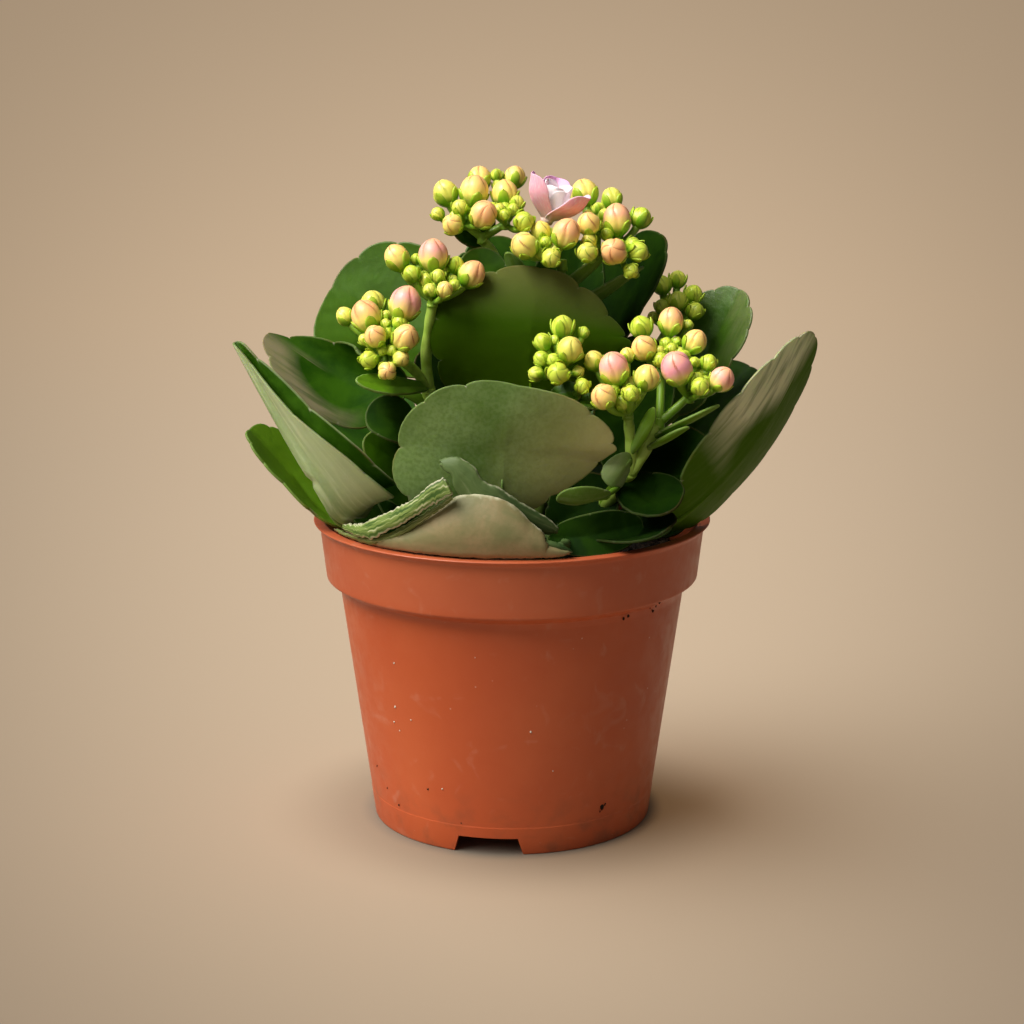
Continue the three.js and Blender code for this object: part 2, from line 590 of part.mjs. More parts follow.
function potSolid() {
  const p = POT;
  const floorTop = p.floorZ + p.floorThickness;
  const profile = [
    [0, p.floorZ], [p.footRadius - p.footWidth + 0.3, p.floorZ], [p.footRadius - p.footWidth, 0],
    [p.footRadius, 0], [p.wallTop, p.wallTopZ], [p.bandFoot, p.bandFootZ],
    [p.bandTop, p.height - 2 * p.lipDepth], [p.lipRadius, p.height - p.lipDepth],
    [p.lipRadius - 0.3, p.height], [p.bandTop - p.wall + 0.6, p.height],
    [p.bandTop - p.wall, p.height - 1], [p.bandFoot - p.wall, p.bandFootZ + 1],
    [p.wallTop - p.wall, p.wallTopZ], [p.footRadius + 0.9 - p.wall, floorTop], [0, floorTop],
  ];
  let pot = toSolid(turned(profile, p.facets));
  for (let i = 0; i < NOTCH.count; i += 1) {
    pot = pot.subtract(footNotch(THREE.MathUtils.degToRad(NOTCH.bearing + (360 * i) / NOTCH.count)));
  }
  for (let i = 0; i < DRAIN.count; i += 1) {
    pot = pot.subtract(drainHole(DRAIN.circle, (2 * Math.PI * i) / DRAIN.count));
  }
  return pot.subtract(drainHole(0, 0));
}

/** Slot with slanted sides through the foot ring. */
function footNotch(bearing) {
  const [low, high] = [NOTCH.width / 2, NOTCH.width / 2 - NOTCH.slant];
  const outline = new THREE.Shape([
    new THREE.Vector2(-low, -1), new THREE.Vector2(low, -1), new THREE.Vector2(low, 0),
    new THREE.Vector2(high, NOTCH.height), new THREE.Vector2(-high, NOTCH.height),
    new THREE.Vector2(-low, 0),
  ]);
  const slot = new THREE.ExtrudeGeometry(outline, { depth: 2 * POT.footWidth + 3, bevelEnabled: false });
  slot.rotateX(Math.PI / 2).translate(0, -POT.footRadius + 2 * POT.footWidth, 0);
  return toSolid(slot.rotateZ(bearing + Math.PI / 2));
}

/** Round hole through the pot's floor. */
function drainHole(distance, bearing) {
  const hole = new THREE.CylinderGeometry(DRAIN.radius, DRAIN.radius, 3 * POT.floorThickness, 10);
  hole.rotateX(Math.PI / 2).translate(distance, 0, POT.floorZ + POT.floorThickness / 2);
  return toSolid(hole.rotateZ(bearing));
}

/** Soil that fills the pot, mounded and uneven on top, with a hole for each stem. */
function soilSolid() {
  const inner = (radius) => radius - POT.wall - GAP;
  const bottom = POT.floorZ + POT.floorThickness + GAP;
  const profile = [
    [0, bottom], [inner(POT.footRadius + 0.9), bottom], [inner(POT.wallTop), POT.wallTopZ],
    [inner(POT.bandFoot), SOIL.topZ],
    [SOIL.ring, SOIL.topZ + 0.6 * SOIL.mound], [0, SOIL.topZ + SOIL.mound],
  ];
  const soil = turned(profile, SOIL.facets);
  const places = soil.attributes.position;
  for (let i = 0; i < places.count; i += 1) {
    const [x, y, z] = [places.getX(i), places.getY(i), places.getZ(i)];
    if (z > SOIL.topZ + 0.1) {
      places.setZ(i, z + 0.5 * Math.sin(0.9 * x + 1.7 * y) + 0.4 * Math.cos(1.3 * x - 0.8 * y));
    }
  }
  const holes = Object.values(SHOOTS).map((shoot) => shootSolid(shoot, GAP));
  return holes.reduce((left, hole) => left.subtract(hole), toSolid(soil));
}

// ---------------------------------------------------------------------------------------------
// Stems, buds and bloom
// ---------------------------------------------------------------------------------------------

/** One shoot's stem and stalks; swell gives the room that its neighbours leave round it. */
function shootSolid(shoot, swell = 0) {
  return join(shoot.map(({ points, radii }, index) => {
    const main = index === 0;
    const [x, y, z] = points[0];
    const path = [[x, y, main ? z - swell : z], ...points.slice(1)];
    return toSolid(tube(path, radii, { sides: main ? 8 : 6, steps: main ? 6 : 4, swell, stretch: swell }));
  }));
}

/** Closed bud: pear-shaped below, pointed on top, set along its stalk. */
function budSolid(place, radius, height, axis) {
  const bud = turned(BUD.outline.map(([r, z]) => [r * radius, z * radius * height]), BUD.facets);
  return toSolid(aimed(bud, axis).translate(place.x, place.y, place.z));
}

/** Turns a geometry's +Z to a direction. */
function aimed(geometry, axis) {
  return geometry.applyQuaternion(new THREE.Quaternion().setFromUnitVectors(new THREE.Vector3(0, 0, 1), axis));
}

/** Flower head: stalks from the nearest hub to each bud, all in one piece. */
function headSolid(head, extraSeats = []) {
  const hubs = head.hubs.map(vec);
  const pieces = hubs.map((hub, i) => knob(hub, i === 0 ? KNOB.first : KNOB.other));
  hubs.slice(1).forEach((hub) => pieces.push(rod(hubs[0], hub, BRANCH)));
  for (const [x, y, z, radius, ripeness] of head.buds) {
    const place = new THREE.Vector3(x, y, z);
    const hub = nearest(hubs, place);
    const axis = place.clone().sub(hub).normalize().add(new THREE.Vector3(0, 0, BUD.lift)).normalize();
    const seat = place.clone().addScaledVector(axis, -BUD.seat * radius);
    pieces.push(budSolid(place, radius, RIPENESS[ripeness], axis), rod(hub, seat, BUD_STALK));
  }
  extraSeats.forEach((seat) => pieces.push(rod(nearest(hubs, seat), seat, BLOOM_STALK)));
  return join(pieces);
}

/** The hub closest to a place. */
function nearest(hubs, place) {
  return hubs.reduce((best, hub) => (hub.distanceTo(place) < best.distanceTo(place) ? hub : best));
}

/** Small round joint where stalks part. */
function knob(place, radius) {
  const ball = turned([[0, -radius], [radius, 0], [0, radius]], KNOB.facets);
  return toSolid(ball.translate(place.x, place.y, place.z));
}

/** Straight stalk between two places. */
function rod(from, to, radii) {
  return toSolid(tube([from.toArray(), to.toArray()], radii, { sides: 3, steps: 1 }));
}

/** Petals in layers, each a small cupped blade, risen from one short calyx tube. */
function bloomSolid() {
  const petals = BLOOM.layers.flatMap(({ count, lean, length, half, turn }) => (
    Array.from({ length: count }, (_, i) => petal((2 * Math.PI * (i + turn)) / count, lean, length, half))
  ));
  const whole = join([toSolid(turned(BLOOM.cup, 8)), ...petals.map((each) => toSolid(blade(each)))]);
  const geometry = aimed(toGeometry(whole), vec(BLOOM.axis).normalize());
  return toSolid(geometry.translate(...BLOOM.seat));
}

/** One petal's midrib, bent outwards from the throat. */
function petal(bearing, lean, length, half) {
  const out = (distance, height) => [distance * Math.cos(bearing), distance * Math.sin(bearing), height];
  const spread = Math.sin(lean) * length;
  const rise = Math.cos(lean) * length;
  return {
    root: out(0, 0), neck: out(0.4 * BLOOM.throat, 0.9),
    belly: out(BLOOM.throat + 0.66 * spread, 0.9 + 0.5 * rise), tip: out(BLOOM.throat + 0.9 * spread, 0.9 + rise),
    face: [-Math.cos(bearing), -Math.sin(bearing), 0.3], half, lobes: 2, depth: 0, fold: [0.6, 0.6],
    thickness: 0.8,
  };
}

// ---------------------------------------------------------------------------------------------
// Assembly
// ---------------------------------------------------------------------------------------------

const plant = new THREE.Group();
plant.position.copy(POT_AXIS);

/** Adds one named piece with its own material. */
function add(name, solid, color, roughness) {
  const material = new THREE.MeshStandardMaterial({ color, roughness, metalness: 0 });
  const mesh = new THREE.Mesh(toGeometry(solid), material);
  mesh.name = name;
  plant.add(mesh);
}

add('pot', potSolid(), COLOURS.pot, 0.5);
add('soil', soilSolid(), COLOURS.soil, 0.95);

const room = {}; // each shoot with the clearance that leaves and heads keep from it
for (const [name, shoot] of Object.entries(SHOOTS)) {
  const bracts = (BRACTS[name] ?? []).map((bract) => toSolid(blade(bract)));
  add(name, join([shootSolid(shoot), ...bracts]), COLOURS.stem, 0.5);
  room[name] = shootSolid(shoot, GAP);
}

for (const [name, leaf] of Object.entries(LEAVES)) {
  add(name, largest(leafSolid(leaf).subtract(room[leaf.shoot])), COLOURS.leaf, 0.4);
}
const [snapped, ...layers] = BROKEN_LEAF;
const broken = join([leafSolid(snapped), ...layers.map((layer) => toSolid(blade(layer)))]);
add('leaf_front_broken', largest(broken.subtract(room.stem_middle)), COLOURS.leafPale, 0.6);

const everyRoom = join(Object.values(room));
const bloomSeat = vec(BLOOM.seat).addScaledVector(vec(BLOOM.axis).normalize(), -2 * GAP);
for (const [name, head] of Object.entries(HEADS)) {
  const seats = BLOOM.head === name ? [bloomSeat] : [];
  add(name, largest(headSolid(head, seats).subtract(everyRoom)), COLOURS.bud, 0.45);
}
add('bloom', bloomSolid(), COLOURS.bloom, 0.5);

export default plant;
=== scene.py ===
"""Potted kalanchoe in a plastic nursery pot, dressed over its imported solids.

Sizes and places are millimetres from the pot's axis, on the surface it stands on, until a
piece is made: its mesh is in metres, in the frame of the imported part.
"""

from __future__ import annotations

import logging
import math
from collections.abc import Sequence
from dataclasses import dataclass, field
from enum import Enum

import bmesh
import bpy
import numpy as np
from mathutils import Matrix, Vector

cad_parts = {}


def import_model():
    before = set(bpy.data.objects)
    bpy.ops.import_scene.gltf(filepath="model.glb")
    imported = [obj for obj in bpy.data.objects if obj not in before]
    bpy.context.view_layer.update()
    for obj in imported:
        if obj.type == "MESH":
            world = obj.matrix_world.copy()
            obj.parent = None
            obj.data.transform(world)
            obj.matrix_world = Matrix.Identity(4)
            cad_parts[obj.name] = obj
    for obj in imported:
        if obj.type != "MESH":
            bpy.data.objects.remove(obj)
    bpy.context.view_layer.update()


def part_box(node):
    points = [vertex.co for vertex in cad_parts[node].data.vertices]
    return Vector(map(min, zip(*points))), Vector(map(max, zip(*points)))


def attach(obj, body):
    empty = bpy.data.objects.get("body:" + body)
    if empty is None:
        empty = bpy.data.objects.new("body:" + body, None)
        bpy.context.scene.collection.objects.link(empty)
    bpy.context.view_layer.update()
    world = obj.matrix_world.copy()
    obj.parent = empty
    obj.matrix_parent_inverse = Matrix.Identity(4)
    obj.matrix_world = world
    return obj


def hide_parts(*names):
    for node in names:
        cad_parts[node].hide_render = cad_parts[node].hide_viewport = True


LOG = logging.getLogger("kalanchoe")
MM = 0.001
UP = np.array([0.0, 0.0, 1.0])
Place = tuple[float, float, float]
Colour = tuple[float, float, float]
Pair = tuple[float, float]
Array = np.ndarray
Object = bpy.types.Object
Material = bpy.types.Material
Mesh = bpy.types.Mesh
Socket = bpy.types.NodeSocket
Number = Socket | float
Paint = Socket | Colour


# ---- Curves and skins ----


def unit(vectors: Array) -> Array:
    """Vectors of length one along the last axis."""
    length = np.linalg.norm(vectors, axis=-1, keepdims=True)
    return vectors / np.maximum(length, 1e-12)


def circle(count: int) -> Array:
    """Angles spaced evenly round a circle."""
    return np.linspace(0, 2 * np.pi, count, endpoint=False)


def turned_rings(outline: Array, count: int, turn: float = 0.0) -> Array:
    """Rings of an outline that is turned about an upright axis.

    Args:
        outline: radius and height of each ring, one a row.
        count: how many points a ring has.
        turn: angle of a ring's first point.

    Returns:
        Places, as [ring, point, xyz].
    """
    angle = circle(count) + turn
    radius, height = outline[:, :1], outline[:, 1:]
    return np.stack([radius * np.cos(angle), radius * np.sin(angle), height + 0 * angle], -1)


def nearest(places: Array, place: Array) -> Array:
    """The one of some places that is nearest to another."""
    return places[np.argmin(np.linalg.norm(places - place, axis=1))]


def curve_at(points: Array | Sequence[Place], share: Array) -> tuple[Array, Array]:
    """Uniform Catmull-Rom curve through points.

    Args:
        points: the places that the curve goes through, one a row.
        share: how far along the curve, from 0 to 1, in any shape.

    Returns:
        The places and the unit tangents at those shares.
    """
    points = np.asarray(points, float)
    ends = np.vstack([2 * points[0] - points[1], points, 2 * points[-1] - points[-2]])
    spot = np.clip(share, 0, 1) * (len(points) - 1)
    index = np.minimum(spot.astype(int), len(points) - 2)
    t = (spot - index)[..., None]
    before, start, stop, after = (ends[index + k] for k in range(4))
    leave, arrive = 0.5 * (stop - before), 0.5 * (after - start)
    bend = 3 * (stop - start) - 2 * leave - arrive
    ease = 2 * (start - stop) + leave + arrive
    place = start + t * (leave + t * (bend + t * ease))
    return place, unit(leave + t * (2 * bend + 3 * t * ease))


def turned_by(vectors: Array, axes: Array, angle: Array) -> Array:
    """Vectors that stand square to their axes, turned about them."""
    turn = angle[..., None]
    return vectors * np.cos(turn) + np.cross(axes, vectors) * np.sin(turn)


@dataclass
class Draft:
    """Skins of point rings, with values at their points, gathered into one mesh.

    Args:
        names: the values that each point carries.
    """

    names: tuple[str, ...]
    points: list[Array] = field(default_factory=list)
    quads: list[Array] = field(default_factory=list)
    fans: list[Array] = field(default_factory=list)
    values: dict[str, list[Array]] = field(default_factory=dict)
    count: int = 0

    def skin(self, rings: Array, **values: float | Array) -> None:
        """Adds a closed skin over a row of rings, with a fan over each end.

        Args:
            rings: places, as [ring, point, xyz].
            values: one number, or an array that fits [ring, point], for each value's name.
        """
        rows, sides = rings.shape[:2]
        caps = np.stack([rings[0].mean(0), rings[-1].mean(0)])
        self.points += [rings.reshape(-1, 3), caps]
        for name in self.names:
            grid = np.broadcast_to(np.asarray(values.get(name, 0.0), float), (rows, sides))
            ends = [grid[0].mean(), grid[-1].mean()]
            self.values.setdefault(name, []).append(np.concatenate([grid.ravel(), ends]))
        ring = np.arange(sides)
        after = (ring + 1) % sides
        foot, top = self.count, self.count + (rows - 1) * sides
        starts = foot + np.arange(rows - 1)[:, None] * sides
        low, low_next = starts + ring, starts + after
        self.quads.append(np.stack([low, low_next, low_next + sides, low + sides], -1).reshape(-1, 4))
        hub = top + sides
        self.fans.append(np.stack([np.full(sides, hub), foot + after, foot + ring], -1))
        self.fans.append(np.stack([np.full(sides, hub + 1), top + ring, top + after], -1))
        self.count = hub + len(caps)

    def tube(self, path: Array, radii: Array, sides: int = 12, **values: float | Array) -> None:
        """Adds a round tube.

        Args:
            path: places along its middle.
            radii: its radius at each of them.
            sides: how many flat sides it has.
            values: one number, or an array that fits [ring, point], for each value's name.
        """
        along = unit(np.gradient(path, axis=0))
        right = unit(np.cross(np.array([0.0, 1.0, 0.0]), along))
        front = np.cross(along, right)
        angle = circle(sides)[:, None]
        spokes = right[:, None] * np.cos(angle) + front[:, None] * np.sin(angle)
        self.skin(path[:, None] + spokes * radii[:, None, None], **values)

    def mesh(self, name: str) -> Mesh:
        """Makes the mesh, in metres in the part's frame, with its faces turned outward.

        Args:
            name: the mesh's name.

        Returns:
            The new mesh.
        """
        quads, fans = np.concatenate(self.quads), np.concatenate(self.fans)
        mesh = bpy.data.meshes.new(name)
        places = (np.concatenate(self.points) + Pot.axis()) * MM
        mesh.vertices.add(len(places))
        mesh.vertices.foreach_set("co", places.ravel())
        loops = np.concatenate([quads.ravel(), fans.ravel()])
        mesh.loops.add(len(loops))
        mesh.loops.foreach_set("vertex_index", loops)
        starts = np.concatenate([np.arange(len(quads)) * 4, quads.size + np.arange(len(fans)) * 3])
        mesh.polygons.add(len(starts))
        mesh.polygons.foreach_set("loop_start", starts)
        mesh.polygons.foreach_set("use_smooth", np.ones(len(starts), bool))
        for value in self.names:
            layer = mesh.attributes.new(value, "FLOAT", "POINT")
            layer.data.foreach_set("value", np.concatenate(self.values[value]))
        mesh.update(calc_edges=True)
        mesh.validate()
        work = bmesh.new()
        work.from_mesh(mesh)
        bmesh.ops.recalc_face_normals(work, faces=work.faces)
        work.to_mesh(mesh)
        work.free()
        return mesh

    def piece(self, name: str, finish: Material, slot: str, nodes: tuple[str, ...]) -> Object:
        """Makes the mesh a piece of the part, with the arguments and result of placed."""
        return placed(name, self.mesh(name), finish, nodes)


def in_scene(name: str, data: bpy.types.ID) -> Object:
    """Puts a mesh, light or camera in the scene.

    Args:
        name: its name there.
        data: the mesh, light or camera.

    Returns:
        The new object.
    """
    item = bpy.data.objects.new(name, data)
    bpy.context.scene.collection.objects.link(item)
    return item


def placed(name: str, mesh: Mesh, finish: Material, nodes: tuple[str, ...]) -> Object:
    """Puts a mesh in the scene as a piece of the part.

    Args:
        name: the piece's name.
        mesh: its mesh, in metres.
        finish: its material.
        nodes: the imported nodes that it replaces.

    Returns:
        The new object.
    """
    piece = in_scene(name, mesh)
    mesh.materials.append(finish)
    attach(piece, "root")
    if nodes:
        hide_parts(*nodes)
    return piece


# ---- Finishes ----


class Recipe:
    """Node tree of one material, built a node at a time."""

    def __init__(self, name: str) -> None:
        """Starts a material with its surface shader.

        Args:
            name: the material's name.
        """
        self.material = bpy.data.materials.new(name)
        self.material.use_nodes = True
        self.nodes = self.material.node_tree.nodes
        self.links = self.material.node_tree.links
        self.nodes.clear()
        output = self.nodes.new("ShaderNodeOutputMaterial")
        self.surface = self.nodes.new("ShaderNodeBsdfPrincipled")
        self.links.new(self.surface.outputs["BSDF"], output.inputs["Surface"])
        self.object_place = self.nodes.new("ShaderNodeTexCoord").outputs["Object"]

    def feed(self, socket: Socket, value: Number | Colour) -> None:
        """Links a socket, or sets its own value.

        Args:
            socket: the socket to feed.
            value: another node's socket, a number or a colour.
        """
        if isinstance(value, Socket):
            self.links.new(value, socket)
        elif isinstance(value, tuple) and len(socket.default_value) == 4:
            socket.default_value = (*value, 1.0)
        else:
            socket.default_value = value

    def node(self, kind: str, inputs: dict[str | int, Number | Colour], **settings: str) -> bpy.types.Node:
        """Adds a node.

        Args:
            kind: the end of its type's name.
            inputs: what its sockets get, by name or number.
            settings: its own settings by name.

        Returns:
            The new node.
        """
        node = self.nodes.new("ShaderNode" + kind)
        for name, setting in settings.items():
            setattr(node, name, setting)
        for name, value in inputs.items():
            self.feed(node.inputs[name], value)
        return node

    def value(self, name: str) -> Socket:
        """A number that the mesh's points carry."""
        return self.node("Attribute", {}, attribute_name=name).outputs["Fac"]

    def noise(self, scale: float, detail: float = 3.0, place: Socket | None = None, twist: float = 0.0) -> Socket:
        """Soft noise, with features of 1/scale in the units of its place."""
        inputs = {"Vector": place or self.object_place, "Scale": scale, "Detail": detail, "Distortion": twist}
        return self.node("TexNoise", inputs).outputs["Fac"]

    def cells(self, scale: float) -> Socket:
        """Distance to the nearest of scattered points."""
        return self.node("TexVoronoi", {"Vector": self.object_place, "Scale": scale}).outputs["Distance"]

    def math(self, kind: str, left: Number, right: Number = 0.0) -> Socket:
        """Arithmetic on one or two numbers."""
        return self.node("Math", {0: left, 1: right}, operation=kind).outputs[0]

    def times(self, left: Number, right: Number) -> Socket:
        """Product of two numbers."""
        return self.math("MULTIPLY", left, right)

    def plus(self, left: Number, right: Number) -> Socket:
        """Sum of two numbers."""
        return self.math("ADD", left, right)

    def minus(self, left: Number, right: Number) -> Socket:
        """The first number less the second."""
        return self.math("SUBTRACT", left, right)

    def reach(self, first: Socket, second: Socket) -> Socket:
        """Length of a line with two numbers as its sides."""
        squares = (self.math("POWER", self.math("ABSOLUTE", side), 2.0) for side in (first, second))
        return self.math("SQRT", self.plus(*squares))

    def step(self, value: Socket, low: float, high: float, start: float = 0.0, stop: float = 1.0) -> Socket:
        """Smooth rise from start to stop while the value goes from low to high."""
        inputs = {"Value": value, "From Min": low, "From Max": high, "To Min": start, "To Max": stop}
        return self.node("MapRange", inputs, interpolation_type="SMOOTHSTEP").outputs["Result"]

    def mix(self, share: Number, first: Paint, second: Paint) -> Socket:
        """Blend of two colours."""
        return self.node("Mix", {0: share, 6: first, 7: second}, data_type="RGBA").outputs[2]

    def coats(self, colour: Paint, *coats: tuple[Number, Paint]) -> Socket:
        """Colour with coats laid over it in turn.

        Args:
            colour: the colour below.
            coats: how far each coat covers, and its colour.

        Returns:
            The colour on top.
        """
        for share, coat in coats:
            colour = self.mix(share, colour, coat)
        return colour

    def vector(self, x: Number, y: Number, z: Number) -> Socket:
        """Three numbers as a vector."""
        return self.node("CombineXYZ", {0: x, 1: y, 2: z}).outputs[0]

    def sides(self) -> tuple[Socket, ...]:
        """X, y and height of the place in metres."""
        return tuple(self.node("SeparateXYZ", {0: self.object_place}).outputs)

    def bump(self, relief: Socket, depth_mm: float, strength: Number = 1.0) -> None:
        """Fine relief on the surface."""
        node = self.node("Bump", {"Strength": strength, "Distance": depth_mm * MM, "Height": relief})
        self.links.new(node.outputs[0], self.surface.inputs["Normal"])

    def finish(self, colour: Paint, roughness: Number, **constants: float | Colour) -> Material:
        """Feeds the surface shader.

        Args:
            colour: its base colour.
            roughness: its roughness.
            constants: further sockets by name, with _ for a space.

        Returns:
            The finished material.
        """
        self.feed(self.surface.inputs["Base Color"], colour)
        self.feed(self.surface.inputs["Roughness"], roughness)
        for name, value in constants.items():
            self.surface.inputs[name.replace("_", " ")].default_value = value
        return self.material


@dataclass(frozen=True)
class PotPlastic:
    """Terracotta-coloured moulded plastic, satin, with scuffs and dust, and a paler band at the top that is partly a
    painted sheen.
    """

    body: Colour = (0.49, 0.082, 0.02)
    faded: Colour = (0.55, 0.108, 0.03)
    dust: Colour = (0.7, 0.5, 0.38)
    dirt: Colour = (0.12, 0.05, 0.025)

    def material(self) -> Material:
        """Builds the material.

        Returns:
            The finished material.
        """
        recipe = Recipe("pot_plastic")
        height = recipe.sides()[2]
        cloud = recipe.step(recipe.noise(26, 4), 0.35, 0.7)
        smear = recipe.step(recipe.noise(120, 6, twist=1.2), 0.58, 0.8, 0.0, 0.16)
        specks = recipe.step(recipe.cells(420), 0.05, 0.11, 0.5, 0.0)
        rare = recipe.times(specks, recipe.step(recipe.noise(90, 2), 0.6, 0.68))
        # Paler band at the top: dust, and in part a painted sheen standing in for the broad highlight on the band.
        band_dust_and_sheen = recipe.step(height, 0.055, 0.059, 0.0, 0.045)
        low = recipe.step(height, 0.0, 0.02, 0.45, 0.0)
        grime = recipe.times(low, recipe.step(recipe.noise(200, 5), 0.45, 0.75))
        colour = recipe.coats(
            self.body, (cloud, self.faded), (smear, self.dust), (rare, self.dust), (band_dust_and_sheen, self.dust), (grime, self.dirt)
        )
        roughness = recipe.step(recipe.noise(300, 4), 0.3, 0.7, 0.36, 0.5)
        recipe.bump(recipe.noise(1500, 3), 0.05, 0.35)
        return recipe.finish(colour, roughness, Specular_IOR_Level=0.55)


@dataclass(frozen=True)
class SoilFinish:
    """Dark peat with paler fibres."""

    dark: Colour = (0.012, 0.008, 0.006)
    light: Colour = (0.07, 0.042, 0.025)

    def material(self) -> Material:
        """Builds the material.

        Returns:
            The finished material.
        """
        recipe = Recipe("peat_soil")
        colour = recipe.mix(recipe.step(recipe.noise(700, 6), 0.4, 0.75), self.dark, self.light)
        recipe.bump(recipe.noise(900, 6), 1.2, 0.9)
        return recipe.finish(colour, 0.95, Specular_IOR_Level=0.2)


@dataclass(frozen=True)
class DustFinish:
    """Pale mineral dust."""

    pale: Colour = (0.75, 0.68, 0.58)
    dull: Colour = (0.6, 0.5, 0.4)

    def material(self) -> Material:
        """Builds the material.

        Returns:
            The finished material.
        """
        recipe = Recipe("pale_dust")
        colour = recipe.mix(recipe.noise(800, 2), self.pale, self.dull)
        return recipe.finish(colour, 0.9)


@dataclass(frozen=True)
class LeafFinish:
    """Living leaf: glossy green above, matt grey-green and streaked below, with a thin pale margin."""

    deep: Colour = (0.018, 0.075, 0.001)
    bright: Colour = (0.045, 0.14, 0.003)
    # Bright green that is painted light on sunlit leaves.
    painted_sunlit_green: Colour = (0.16, 0.32, 0.008)
    under: Colour = (0.06, 0.14, 0.004)
    under_grey: Colour = (0.26, 0.385, 0.13)
    streak: Colour = (0.54, 0.62, 0.34)
    warm: Colour = (0.36, 0.31, 0.12)
    worn: Colour = (0.34, 0.3, 0.16)
    worn_below: Colour = (0.78, 0.8, 0.52)
    margin: Colour = (0.22, 0.26, 0.1)
    flush: Colour = (0.22, 0.1, 0.05)
    scar: Colour = (0.6, 0.56, 0.4)
    stalk: Colour = (0.1, 0.2, 0.015)
    # Near black, the colour of painted shade on leaves deep in shade.
    shade: Colour = (0.0, 0.002, 0.0)

    def material(self) -> Material:
        """Builds the material.

        Returns:
            The finished material.
        """
        recipe = Recipe("kalanchoe_leaf")
        upper, tone, dim, gloss, streaked = map(recipe.value, ("upper", "tone", "dim", "gloss", "streaked"))
        fibres = recipe.vector(recipe.value("fan"), recipe.times(recipe.value("reach"), 0.3), recipe.value("seed"))
        mottle = recipe.noise(170, 4, twist=0.4)
        streaks = recipe.noise(5.0, 7, fibres, 0.35)
        # The tone coat is painted light, above and below: it lifts the green towards a sunlit green.
        above = recipe.coats(
            self.deep, (recipe.step(mottle, 0.35, 0.7), self.bright), (tone, self.painted_sunlit_green),
            (recipe.step(streaks, 0.5, 0.75, 0.0, 0.15), self.bright),
        )
        cloud = recipe.step(recipe.noise(75, 3), 0.35, 0.7, 0.0, 0.55)
        speckle = recipe.step(recipe.noise(1300, 3), 0.35, 0.7, 0.0, 0.35)
        bands = recipe.times(recipe.step(streaks, 0.46, 0.72), streaked)
        below = recipe.coats(
            self.under, (recipe.value("grey"), self.under_grey), (cloud, self.under), (speckle, self.under),
            (recipe.value("warm"), self.warm), (tone, self.painted_sunlit_green), (recipe.value("light"), self.streak),
            (bands, self.streak),
        )
        tired = recipe.times(recipe.step(streaks, 0.3, 0.58, 0.4, 1.0), recipe.value("worn"))
        # Painted shade: dim darkens a leaf towards near black and tones its pale rim down.
        lit = recipe.minus(1.0, recipe.times(dim, 0.85))
        rim = recipe.times(recipe.step(recipe.value("edge"), 0.985, 1.01, 0.0, 0.36), lit)
        tint = recipe.mix(recipe.step(recipe.noise(60, 2), 0.5, 0.62), self.margin, self.flush)
        colour = recipe.coats(
            below, (upper, above), (tired, recipe.mix(upper, self.worn_below, self.worn)), (dim, self.shade),
            (rim, tint), (recipe.value("scar"), self.scar), (recipe.value("stalk"), self.stalk),
        )
        sheen = recipe.plus(recipe.times(recipe.times(upper, gloss), -0.33), recipe.times(dim, 0.3))
        roughness = recipe.plus(recipe.step(mottle, 0.3, 0.7, 0.5, 0.6), sheen)
        ribs = recipe.times(streaks, recipe.times(streaked, 0.8))
        relief = recipe.plus(recipe.plus(recipe.noise(420, 4), recipe.noise(150, 2)), ribs)
        recipe.bump(relief, 0.35, recipe.step(gloss, 0.2, 1.0, 0.35, 0.9))
        shine = recipe.times(gloss, recipe.step(upper, 0.0, 1.0, 0.35))
        recipe.feed(recipe.surface.inputs["Specular IOR Level"], shine)
        return recipe.finish(
            colour, roughness, Subsurface_Weight=0.2, Subsurface_Radius=(0.6, 1.0, 0.1), Subsurface_Scale=0.0015
        )


@dataclass(frozen=True)
class StemFinish:
    """Pale green stem with darker flecks, painted near black low down as painted shade."""

    pale: Colour = (0.41, 0.58, 0.09)
    green: Colour = (0.24, 0.39, 0.035)
    # Near black: painted shade on the stems low down, where they stand in shade.
    foot: Colour = (0.012, 0.025, 0.004)

    def material(self) -> Material:
        """Builds the material.

        Returns:
            The finished material.
        """
        recipe = Recipe("kalanchoe_stem")
        colour = recipe.mix(recipe.step(recipe.noise(260, 4, twist=0.6), 0.35, 0.7), self.pale, self.green)
        # Painted shade: from 84 mm down to 70 mm the stem goes near black.
        colour = recipe.mix(recipe.step(recipe.sides()[2], 0.084, 0.07), colour, self.foot)
        recipe.bump(recipe.noise(600, 3), 0.25, 0.4)
        return recipe.finish(
            colour, 0.42, Subsurface_Weight=0.1, Subsurface_Radius=(0.6, 1.0, 0.2), Subsurface_Scale=0.001
        )


